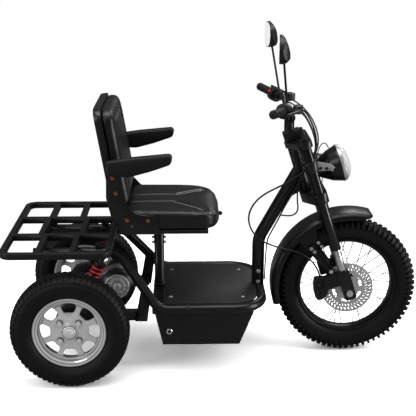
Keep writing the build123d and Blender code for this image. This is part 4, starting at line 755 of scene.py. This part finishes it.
# %% Armrests
ARM_ROWS = [
    (-26, 29), (70, 42), (204, 54), (214, 51), (217, 42), (214, 24), (207, 13), (134, -12), (58, -32),
    (-18, -28), (-27, -18)]
PIN_X, PIN_Z = 178, 840
ARM_IN, ARM_W = 0.2195, 0.0375
for side, name in ((-1, "right"), (1, "left")):
    rows = [at(PIN_X + ahead, 0, PIN_Z + up) for ahead, up in ARM_ROWS]
    inner = side * ARM_IN
    rest = slab([Vector((p.x, inner, p.z)) for p in rows], (0, side * ARM_W, 0))
    pick(rest, lambda c: abs(c.y - inner) < 0.001 or abs(c.y - inner - side * ARM_W) < 0.001)
    bpy.ops.mesh.bevel(offset=0.009, segments=4, affect="EDGES")
    leave()
    middle = inner + side * 0.019

    def arm_seams(co):
        """Held along the seam in the middle of the side and round the pin."""
        round_pin = (co - at(PIN_X, 0, PIN_Z)).xz.length < 0.026
        return 1.0 if round_pin else near_line(co.y, middle, 0.005)

    rest = stuffed(rest, 0.004, arm_seams, 2.0, 0.006, 6)
    rest = hand_in(rest, f"armrest_pad_{name}", f"armrest_{name}", "armrest_vinyl", smooth=60,
                   stands_for=[f"armrest_{name}"])

# %% [markdown]
# Thread and screws come later, so that they can be laid on the finished skins. Next are the tyres. The
# rear ones are road tyres: a section is spun round the axle, then blocks are raised from the tread by an
# inset with depth.

# %% Rear tyres
REAR_SECTION = [
    (28, 128), (31, 142), (38, 146.5), (46, 154), (50.5, 166), (52, 182), (51, 196), (47.5, 206), (42.5, 213),
    (36, 218), (28, 221), (19, 222.6), (8, 223.4)]
STEPS = 192


def ring_step(co, steps):
    """Number of a face round the wheel, counted in spin steps."""
    return int((math.atan2(co.x, co.z) % (2 * math.pi)) / (2 * math.pi) * steps)


def rear_tread(co):
    """Faces that become rubber blocks on a road tyre."""
    step = ring_step(co, STEPS)
    across = abs(co.y) * 1000
    radius = math.hypot(co.x, co.z) * 1000
    if radius < 205 or radius > 226:
        return False
    shift = 2 if co.y > 0 else 0
    if across < 8:
        return step % 4 != 0
    if across < 20:
        return (step + shift) % 3 != 0
    if 20 < across < 48:
        return (step + shift) % 3 != 1
    return False


for side, name in ((-1, "right"), (1, "left")):
    rows = REAR_SECTION + [(-y, r) for y, r in reversed(REAR_SECTION)]
    tyre = lathe(rows, STEPS, "Y")
    pick(tyre, rear_tread)
    bpy.ops.mesh.inset(thickness=0.0012, depth=0.0036, use_even_offset=True)
    leave()
    for ring in (166, 176, 190):
        pick(tyre, lambda c: abs(math.hypot(c.x, c.z) * 1000 - ring) < 5 and abs(c.y) > 0.049)
        bpy.ops.mesh.inset(thickness=0.0015, depth=0.0006)
        leave()
    settle(tyre, Matrix.Translation(at(0, side * REAR_Y, REAR_R)))
    hand_in(tyre, f"road_tyre_{name}", f"rear_wheel_{name}", "tyre_rubber", smooth=35,
            stands_for=[f"rear_tyre_{name}"])

# %% [markdown]
# The front tyre is a dirt tyre. Its tall knobs sit in two staggered rows on the shoulders, raised from
# the spun carcass in the same way, and a row of small blocks fills the middle.

# %% Front tyre
FRONT_SECTION = [
    (21, 193.6), (24.5, 201.6), (33, 208), (38.5, 221), (41, 236), (40.5, 250), (38, 259), (33, 266.5),
    (24, 271.5), (13, 274.2), (6, 274.8)]
FRONT_STEPS = 288


def knob(co):
    """Faces that become knobs on the dirt tyre."""
    step = ring_step(co, FRONT_STEPS)
    radius = math.hypot(co.x, co.z) * 1000
    across = abs(co.y) * 1000
    if radius < 253:
        return False
    if across > 13:
        return step % 4 in ((3, 0) if co.y > 0 else (1, 2))
    return False


rows = FRONT_SECTION + [(-y, r) for y, r in reversed(FRONT_SECTION)]
dirt_tyre = lathe(rows, FRONT_STEPS, "Y")
pick(dirt_tyre, knob)
bpy.ops.mesh.inset(thickness=0.0013, depth=0.0105, use_even_offset=True)
leave()
pick(dirt_tyre, lambda c: abs(c.y) < 0.006 and ring_step(c, FRONT_STEPS) % 4 in (0, 2))
bpy.ops.mesh.inset(thickness=0.0015, depth=0.006)
leave()
settle(dirt_tyre, Matrix.Translation(at(WHEELBASE, 0, FRONT_R)))
hand_in(dirt_tyre, "dirt_tyre", "front_wheel", "tyre_rubber", smooth=35, stands_for=["front_tyre"])

# %% [markdown]
# The brake disc is a thin ring with two rows of leaning slots, on a carrier with windows. A leaning line
# of points is spun flat round the axle, the faces of the slots are deleted, and a Solidify modifier gives
# the sheet its thickness, so that every slot is a real opening.

# %% Brake disc
DISC_ROWS = (36, 50, 62, 68, 73, 83, 87, 98, 105)
DISC_STEPS = 120
DISC_Y = -50


def lean(radius):
    """Turn of the slots' line at a radius in millimetres."""
    return 0.006 * (radius - DISC_ROWS[0])


def opening(co):
    """Faces of the flat disc that are cut out."""
    radius = math.hypot(co.x, co.z) * 1000
    step = int((math.atan2(co.z, co.x) - lean(radius)) % (2 * math.pi) / (2 * math.pi) * DISC_STEPS)
    window = 50 < radius < 62 and step % 20 < 12
    return window or 73 < radius < 83 and step % 3 == 0 or 87 < radius < 98 and step % 3 == 1


leaning = [Vector((r * math.cos(lean(r)), 0, r * math.sin(lean(r)))) / 1000 for r in DISC_ROWS]
disc = drawn(leaning, close=False)
edit(disc)
bpy.ops.mesh.spin(steps=DISC_STEPS, angle=2 * math.pi, center=(0, 0, 0), axis=(0, 1, 0))
bpy.ops.mesh.select_all(action="SELECT")
bpy.ops.mesh.remove_doubles(threshold=0.00002)
bpy.ops.mesh.normals_make_consistent(inside=False)
leave()
pick(disc, opening)
bpy.ops.mesh.delete(type="FACE")
leave()
modify(disc, "SOLIDIFY", thickness=0.0038, offset=0.0)
carrier = lathe([(-2, 21.4), (-2, 37), (9, 37), (9, 21.4), (-2, 21.4)], 64, "Y")
disc = settle(join([disc, carrier]), Matrix.Translation(at(WHEELBASE, DISC_Y, FRONT_R)))
hand_in(disc, "slotted_disc", "front_wheel", "steel", finish["disc_steel"], smooth=30,
        stands_for=["front_disc"])

# %% [markdown]
# The brake caliper is a rounded casting that sits astride the disc. Its outline is drawn and pulled to
# its width, the room for the disc and the hub is cut away, and bevels round the edges. Two piston caps
# stand on its face.

# %% Caliper
CALIPER_ROWS = [
    (960, 326), (966, 332), (985, 333), (1008, 334), (1028, 330), (1034, 312), (1030, 296), (1018, 282),
    (1014, 266), (1003, 250), (990, 240), (976, 240), (966, 250), (960, 272), (957, 300)]
caliper = slab([at(x, -69.7, z) for x, z in CALIPER_ROWS], (0, 0.0357, 0))
for radius, low, high in ((109, -57, -43), (70, -80, 0)):
    room = lathe([(low, 0.1), (low, radius), (high, radius), (high, 0.1)], 96, "Y")
    settle(room, Matrix.Translation(at(WHEELBASE, 0, FRONT_R)))
    modify(caliper, "BOOLEAN", object=room, operation="DIFFERENCE", solver="EXACT")
    bpy.data.objects.remove(room)
modify(caliper, "BEVEL", width=0.004, segments=3, limit_method="ANGLE", angle_limit=math.radians(50))
caps = []
for x, z, radius in ((978, 264, 11), (981, 296, 10)):
    piston = lathe([(-3, 0.2), (-3, radius + 2), (1, radius + 2), (3, radius), (5, radius - 1),
                    (5, radius - 4), (3.4, radius - 5), (3.4, 0.2)], 32)
    caps.append(settle(piston, facing(at(x, -69.7, z), (0, -1, 0))))
hand_in(join([caliper, *caps]), "rounded_caliper", "steering", "brake_black", smooth=35,
        stands_for=["front_caliper"])

# %% [markdown]
# The suspension springs are real coils: a small circle swept up a helix by the Screw modifier, then leant
# into line with the dampers.

# %% Springs
coils = []
for side in (-1, 1):
    low = at(22, side * 182, 290)
    high = at(130, side * 182, 482)
    way = (high - low).normalized()
    bpy.ops.mesh.primitive_circle_add(vertices=12, radius=0.0043, rotation=(math.pi / 2, 0, 0),
                                      location=(0.0202, 0, 0))
    coil = settle(bpy.context.active_object)
    modify(coil, "SCREW", axis="Z", screw_offset=0.0172, iterations=7, steps=28, render_steps=28,
           use_normal_calculate=True)
    settle(coil, facing(low + way * 0.0495, way))
    coils.append(coil)
hand_in(join(coils), "coil_springs", "chassis", "spring_red", smooth=60, stands_for=["shock_springs"])

# %% [markdown]
# Grips are rubber sleeves with ribs. One profile is turned on a lathe and laid along each end of the bar.

# %% Grips
BAR_WAY = Vector((-0.385132, -0.919793, 0.075197))
BAR_START = Vector((838.036, -112.0, 1035.025))


def on_bar(distance, side=-1):
    """Point on the bar's end run, right side for -1 and left side for 1."""
    point = BAR_START + BAR_WAY * distance
    return at(point.x, point.y * -side, point.z)


def bar_way(side=-1):
    """Outward way along the bar on one side."""
    return Vector((BAR_WAY.x, BAR_WAY.y * -side, BAR_WAY.z))


rib_rows = [(0, 11.5), (0, 17.5), (3.5, 17.5), (4.5, 15.2)]
for number in range(17):
    start = 7 + number * 6
    rib_rows += [(start, 15.2), (start + 1, 16.3), (start + 3.6, 16.3), (start + 4.6, 15.2)]
rib_rows += [(112, 15.4), (113, 16.4), (118.5, 16.4), (119.6, 15), (119.9, 6)]
for side, name in ((-1, "right"), (1, "left")):
    grip = lathe(rib_rows, 40)
    settle(grip, facing(on_bar(95.1, side), bar_way(side)))
    hand_in(grip, f"ribbed_grip_{name}", "steering", "grip_rubber", smooth=30)
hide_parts("grips")

# %% [markdown]
# The lamp's lens is a shallow dome with upright flutes in the glass. It is turned on the lathe and set
# into the bright ring.

# %% Lamp lens
LAMP = facing(at(1051.0, 0, 797.0), (math.cos(math.radians(17)), 0, math.sin(math.radians(17))))
dome = [(2, 0.2), (2, 66.5), (14, 67.2)]
dome += [(15 + 25 * math.sin(math.radians(turn)), 67.2 * math.cos(math.radians(turn)))
         for turn in range(8, 86, 8)]
dome.append((40, 0.2))
lens = lathe(dome, 64)
settle(lens, LAMP)
hand_in(lens, "lamp_dome", "steering", "lamp_lens", smooth=40, stands_for=["headlamp_lens"])

# %% [markdown]
# Fixings are what makes a machine look built. Each bolt is a six-sided head with a chamfer on a washer,
# stood on its surface, and the bolts of one body are joined into one piece.

# %% Bolts


def bolt(spot, way, radius, height, head=6):
    """A bolt head on its washer."""
    bpy.ops.mesh.primitive_cylinder_add(vertices=head, radius=radius, depth=height,
                                        location=(0, 0, height / 2))
    top = settle(bpy.context.active_object)
    pick(top, lambda c: c.z > height * 0.9)
    bpy.ops.mesh.bevel(offset=min(height, radius) * 0.18, segments=2, affect="EDGES")
    leave()
    pick(top, lambda c: c.z > height * 0.97)
    bpy.ops.mesh.inset(thickness=radius * 0.35, depth=-height * 0.12)
    leave()
    bpy.ops.mesh.primitive_cylinder_add(vertices=24, radius=radius * 1.4, depth=height * 0.3,
                                        location=(0, 0, height * 0.1))
    washer = settle(bpy.context.active_object)
    pick(washer, lambda c: c.z > height * 0.2)
    bpy.ops.mesh.bevel(offset=height * 0.08, segments=2, affect="EDGES")
    leave()
    return settle(join([top, washer]), facing(spot, way))


def bolts(name, body, slot, rows, way, material=None, head=6):
    """Joined bolts: rows of x, y, z, radius and height in millimetres."""
    made = [bolt(at(x, y, z), way, radius / 1000, height / 1000, head) for x, y, z, radius, height in rows]
    return hand_in(join(made), name, body, slot, material, smooth=30)


NEAR, FAR, UP = (0, -1, 0), (0, 1, 0), (0, 0, 1)
plate_rows = [(170, 797, 5.5), (181, 737, 5.5), (221, 631, 5.5), (300, 629, 5.5), (239, 607, 3.5)]
bolts("plate_bolts_right", "chassis", "steel", [(x, -212.3, z, r, 6) for x, z, r in plate_rows], NEAR, copper)
bolts("plate_bolts_left", "chassis", "steel", [(x, 212.3, z, r, 6) for x, z, r in plate_rows], FAR, copper)
bolts("column_bolts", "chassis", "steel", [(735, -24.4, 351, 6, 6), (735, -24.4, 305, 6, 6)], NEAR)
deck_rows = [(664, 146), (664, -156), (380, -150), (380, 150)]
bolts("deck_screws", "chassis", "steel", [(x, y, 293.8, 6, 3) for x, y in deck_rows], UP, head=24)
for number, (x, way) in enumerate(((313, (-1, 0, 0)), (353, (1, 0, 0)))):
    bolts(f"post_bolts_{number}", "chassis", "steel", [(x, -4, z, 5, 9) for z in (473, 494)], way)
strap_rows = [(969.6, -69.6, 486.7, 5, 4), (983.4, -69.6, 471.4, 5, 4), (943.3, -69.6, 461.2, 5, 4),
              (956.2, -69.6, 447.9, 5, 4)]
bolts("strap_bolts", "steering", "steel", strap_rows, NEAR)
bolts("leg_bolts", "steering", "steel", [(1018.6, -110, 377.8, 6, 5)], NEAR)

# %% [markdown]
# The motor's end cap is a bright casting with cooling ribs. A disc is spun with a raised hub, and small
# bolts hold it on. Its bright face is what shows between the tyre and the frame.

# %% Motor caps
MOTOR_X, MOTOR_Z = 165, 315
CAP_BOLT_R = 46
for side, name in ((-1, "right"), (1, "left")):
    cap_rows = [(-2, 50), (4, 50), (5.5, 48), (5.5, 44), (2.5, 42), (2.5, 34), (6, 32), (6, 26), (3, 24),
                (3, 17), (9, 15), (11, 12), (11, 6), (8, 5), (8, 0.2)]
    cap = lathe(cap_rows, 48)
    pick(cap, lambda c: 0.024 < math.hypot(c.x, c.y) < 0.042 and c.z > 0
         and int(math.degrees(math.atan2(c.y, c.x)) % 360 / 7.5) % 4 == 0)
    bpy.ops.mesh.inset(thickness=0.0004, depth=0.003)
    leave()
    settle(cap, facing(at(MOTOR_X, side * 88, MOTOR_Z), (0, side, 0)))
    hand_in(cap, f"motor_cap_{name}", "chassis", "cast_alloy", finish["bright_cast"], smooth=30)
    ring = [(MOTOR_X + CAP_BOLT_R * math.cos(math.radians(turn)), side * 92,
             MOTOR_Z + CAP_BOLT_R * math.sin(math.radians(turn)), 3.4, 4) for turn in range(30, 390, 60)]
    bolts(f"motor_cap_bolts_{name}", "chassis", "steel", ring, (0, side, 0))

# %% [markdown]
# A round knob under the seat's front edge moves the seat. It is a thin rod with a turned ball on its end.

# %% Seat knob
knob_rows = [(0, 0.2), (0, 2.6), (74, 2.6), (75, 4)]
knob_rows += [(84 - 9 * math.cos(math.radians(turn)), 9 * math.sin(math.radians(turn)))
              for turn in range(40, 171, 13)]
knob_rows.append((93, 0.2))
seat_knob = lathe(knob_rows, 24)
settle(seat_knob, facing(at(500, 110, 562), (0.995, 0, -0.05)))
hand_in(seat_knob, "seat_knob", "chassis", "black_plastic", finish["lamp_gloss"], smooth=50)

# %% [markdown]
# The lock on the box is a bright ring round a dark core, the deck tube has a rubber band, and the lamp
# plates have two dark holes each, made here as short dark plugs.

# %% Small round pieces
lock_core = lathe([(-1, 0.2), (-1, 6.3), (0.6, 6.3), (1.2, 5.6), (1.2, 2.2), (0.4, 1.6), (0.4, 0.2)], 24)
settle(lock_core, facing(at(374, -205.6, 169), (0, -1, 0)))
hand_in(lock_core, "lock_core", "chassis", "black_plastic", smooth=30)
band = lathe([(-5, 19), (-5, 20.6), (-3, 21.2), (3, 21.2), (5, 20.6), (5, 19)], 40)
settle(band, facing(at(448, -240, 278), (1, 0, 0)))
hand_in(band, "tube_band", "chassis", "grip_rubber", smooth=40)
plugs = []
for side in (-1, 1):
    for x, z in ((966, 796), (989, 795)):
        plug = lathe([(-1, 0.2), (-1, 6.4), (0.8, 6.4), (1.4, 5.6), (0.2, 4.6), (0.2, 0.2)], 24)
        plugs.append(settle(plug, facing(at(x, side * 82.2, z), (0, side, 0))))
hand_in(join(plugs), "bracket_plugs", "steering", "black_plastic", smooth=30)
bolts("bracket_bolts_right", "steering", "steel", [(1010, -82, 792, 5, 5)], NEAR)
bolts("bracket_bolts_left", "steering", "steel", [(1010, 82, 792, 5, 5)], FAR)

# %% [markdown]
# A red stop button sits on the left switch pod. It is a short turned dome.

# %% Red button
button = lathe([(-2, 0.2), (-2, 6.5), (3, 6.5), (4.4, 5.6), (5, 3.6), (5, 0.2)], 24)
settle(button, facing(at(784.9, 172.9, 1054.6), (-0.798, -0.374, 0.473)))
hand_in(button, "red_button", "steering", "black_plastic", red_cap, smooth=40)

# %% [markdown]
# Light thread shows along the front of the seat's seams. Each stitch is a short round rod laid on the
# finished skin, found by looking straight down on it.

# %% Stitches
stitches = []
for side in (-1, 1):
    for row in (4, 12):
        for number in range(19):
            share = number / 18
            x = 404 + 100 * share
            y = side * (line_y(SEAM, x) + row)
            hit, spot, normal, _ = cushion.ray_cast(at(x, y, 760), Vector((0, 0, -1)))
            if not hit:
                continue
            bpy.ops.mesh.primitive_cylinder_add(vertices=6, radius=0.0011, depth=0.0046)
            stitch = settle(bpy.context.active_object)
            pick(stitch, lambda c: abs(c.z) > 0.002)
            bpy.ops.mesh.inset(thickness=0.0003, depth=0.0003)
            leave()
            stitches.append(settle(stitch, facing(spot + normal * 0.0008, (100, side * 79, 0))))
hand_in(join(stitches), "seat_stitches", "chassis", "seat_vinyl", thread, smooth=60)

# %% [markdown]
# What the CAD part already shows well stays as it is: tubes, rack, fork, rims, spokes. Those solids are
# only given their finish and a small rounding on hard edges, since a real edge always catches a line of
# light. The moulded mirror backs get an even skin, so that they shade softly.

# %% Carried-over solids
slots = {entry["node"]: entry["material_slot"] for entry in frame["record"]["subparts"]}
ROUND = {"battery_box": 1.6, "footboard": 1.2, "rear_rack": 2.0, "seat_back_shell": 5.0, "fork_castings": 8.0,
         "gear_case": 3.0, "handlebar_riser": 2.0, "seat_base": 1.5, "front_spokes": 0.0,
         "mirror_right": 0.0, "mirror_left": 0.0, "mirror_glass": 0.4}
OTHER = {"drive_motor": "brake_black", "front_spokes": "spoke_steel", "shock_dampers": "brake_black",
         "headlamp_ring": "satin_ring"}
MOULDED = ("mirror_right", "mirror_left")
carried = 0
for name, node in nodes.items():
    if node.hide_render:
        continue
    node.data.materials.clear()
    node.data.materials.append(finish[OTHER.get(name, slots[name])])
    only(node)
    bpy.ops.object.shade_smooth_by_angle(angle=math.radians(35))
    width = ROUND.get(name, 0.8)
    weld = node.modifiers.new("Weld", "WELD")
    weld.merge_threshold = 0.00001
    if name in MOULDED:
        skin = node.modifiers.new("Remesh", "REMESH")
        skin.mode = "VOXEL"
        skin.voxel_size = 0.0016
        skin.use_smooth_shade = True
        soft = node.modifiers.new("Smooth", "SMOOTH")
        soft.iterations = 6
    if width:
        rounding = node.modifiers.new("Bevel", "BEVEL")
        rounding.width = width / 1000
        rounding.segments = 2
        rounding.limit_method = "ANGLE"
        rounding.angle_limit = math.radians(40)
        rounding.harden_normals = True
    carried += 1
print(carried, "solids carried over")

# %% [markdown]
# The studio is a pale floor that fades into white, a soft sky that is brighter overhead, and five soft
# lights: one above, one to the left of the camera, one behind and a tall strip at either end, which draws
# the thin lines of light on the black tubes.

# %% Studio
scene = bpy.context.scene
scene.view_settings.view_transform = "Standard"
bpy.ops.object.select_all(action="DESELECT")
bpy.ops.mesh.primitive_plane_add(size=80, location=(0, 0, -0.0005))
floor = bpy.context.active_object
floor.name = "studio_floor"
floor_look = bpy.data.materials.new("studio_floor")
floor_look.use_nodes = True
tree = floor_look.node_tree
tree.nodes.clear()
place = tree.nodes.new("ShaderNodeTexCoord")
spread = tree.nodes.new("ShaderNodeVectorMath")
spread.operation = "LENGTH"
tree.links.new(place.outputs["Object"], spread.inputs[0])
fade = tree.nodes.new("ShaderNodeMapRange")
fade.interpolation_type = "SMOOTHSTEP"
fade.inputs["From Min"].default_value = 0.9
fade.inputs["From Max"].default_value = 1.9
tree.links.new(spread.outputs["Value"], fade.inputs["Value"])
paper = tree.nodes.new("ShaderNodeBsdfDiffuse")
paper.inputs["Color"].default_value = (0.96, 0.96, 0.96, 1)
white = tree.nodes.new("ShaderNodeEmission")
white.inputs["Color"].default_value = (1, 1, 1, 1)
seen = tree.nodes.new("ShaderNodeMixShader")
tree.links.new(fade.outputs["Result"], seen.inputs["Fac"])
bright = tree.nodes.new("ShaderNodeAddShader")
tree.links.new(paper.outputs[0], bright.inputs[0])
tree.links.new(paper.outputs[0], bright.inputs[1])
tree.links.new(bright.outputs[0], seen.inputs[1])
tree.links.new(white.outputs[0], seen.inputs[2])
bounce = tree.nodes.new("ShaderNodeBsdfDiffuse")
bounce.inputs["Color"].default_value = (0.2, 0.2, 0.2, 1)
rays = tree.nodes.new("ShaderNodeLightPath")
mix = tree.nodes.new("ShaderNodeMixShader")
tree.links.new(rays.outputs["Is Camera Ray"], mix.inputs["Fac"])
tree.links.new(bounce.outputs[0], mix.inputs[1])
tree.links.new(seen.outputs[0], mix.inputs[2])
surface = tree.nodes.new("ShaderNodeOutputMaterial")
tree.links.new(mix.outputs[0], surface.inputs["Surface"])
floor.data.materials.append(floor_look)

world = bpy.data.worlds.new("studio_sky")
scene.world = world
world.use_nodes = True
tree = world.node_tree
tree.nodes.clear()
way = tree.nodes.new("ShaderNodeTexCoord")
parts = tree.nodes.new("ShaderNodeSeparateXYZ")
tree.links.new(way.outputs["Generated"], parts.inputs[0])
rays = tree.nodes.new("ShaderNodeLightPath")


def sky(low, high):
    """A background that brightens from the horizon to straight up."""
    rise = tree.nodes.new("ShaderNodeMapRange")
    rise.inputs["From Min"].default_value = 0.0
    rise.inputs["From Max"].default_value = 0.9
    rise.inputs["To Min"].default_value = low
    rise.inputs["To Max"].default_value = high
    tree.links.new(parts.outputs["Z"], rise.inputs["Value"])
    shade = tree.nodes.new("ShaderNodeBackground")
    shade.inputs["Color"].default_value = (1, 1, 1, 1)
    tree.links.new(rise.outputs["Result"], shade.inputs["Strength"])
    return shade.outputs[0]


def chosen(ray, otherwise, then):
    """One background for a kind of ray, another for the rest."""
    choice = tree.nodes.new("ShaderNodeMixShader")
    tree.links.new(rays.outputs[ray], choice.inputs["Fac"])
    tree.links.new(otherwise, choice.inputs[1])
    tree.links.new(then, choice.inputs[2])
    return choice.outputs[0]


lit = chosen("Is Glossy Ray", sky(0.28, 0.68), sky(0.04, 0.24))
result = tree.nodes.new("ShaderNodeOutputWorld")
tree.links.new(chosen("Is Camera Ray", lit, sky(1.0, 1.0)), result.inputs["Surface"])


def soft_light(name, spot, aim, wide, tall, power):
    """A large soft lamp that looks at a point."""
    data = bpy.data.lights.new(name, "AREA")
    data.shape = "RECTANGLE"
    data.size = wide
    data.size_y = tall
    data.energy = power
    lamp = bpy.data.objects.new(name, data)
    lamp.location = spot
    lamp.rotation_euler = (Vector(aim) - Vector(spot)).to_track_quat("-Z", "Y").to_euler()
    scene.collection.objects.link(lamp)
    return lamp


soft_light("top_light", (0.1, -0.3, 3.4), (0, 0, 0.3), 3.2, 1.6, 60)
soft_light("side_light", (-2.2, -3.0, 2.4), (0, 0, 0.5), 1.2, 2.0, 24)
soft_light("back_light", (1.8, 2.8, 2.6), (0, 0, 0.6), 2.0, 1.2, 26)
soft_light("right_strip", (2.8, -0.9, 1.0), (0, 0, 0.7), 0.8, 2.0, 44)
soft_light("left_strip", (-2.8, -0.9, 0.9), (0, 0, 0.7), 0.4, 1.6, 14)
print("studio ready")

# %% Finish
bpy.context.view_layer.update()
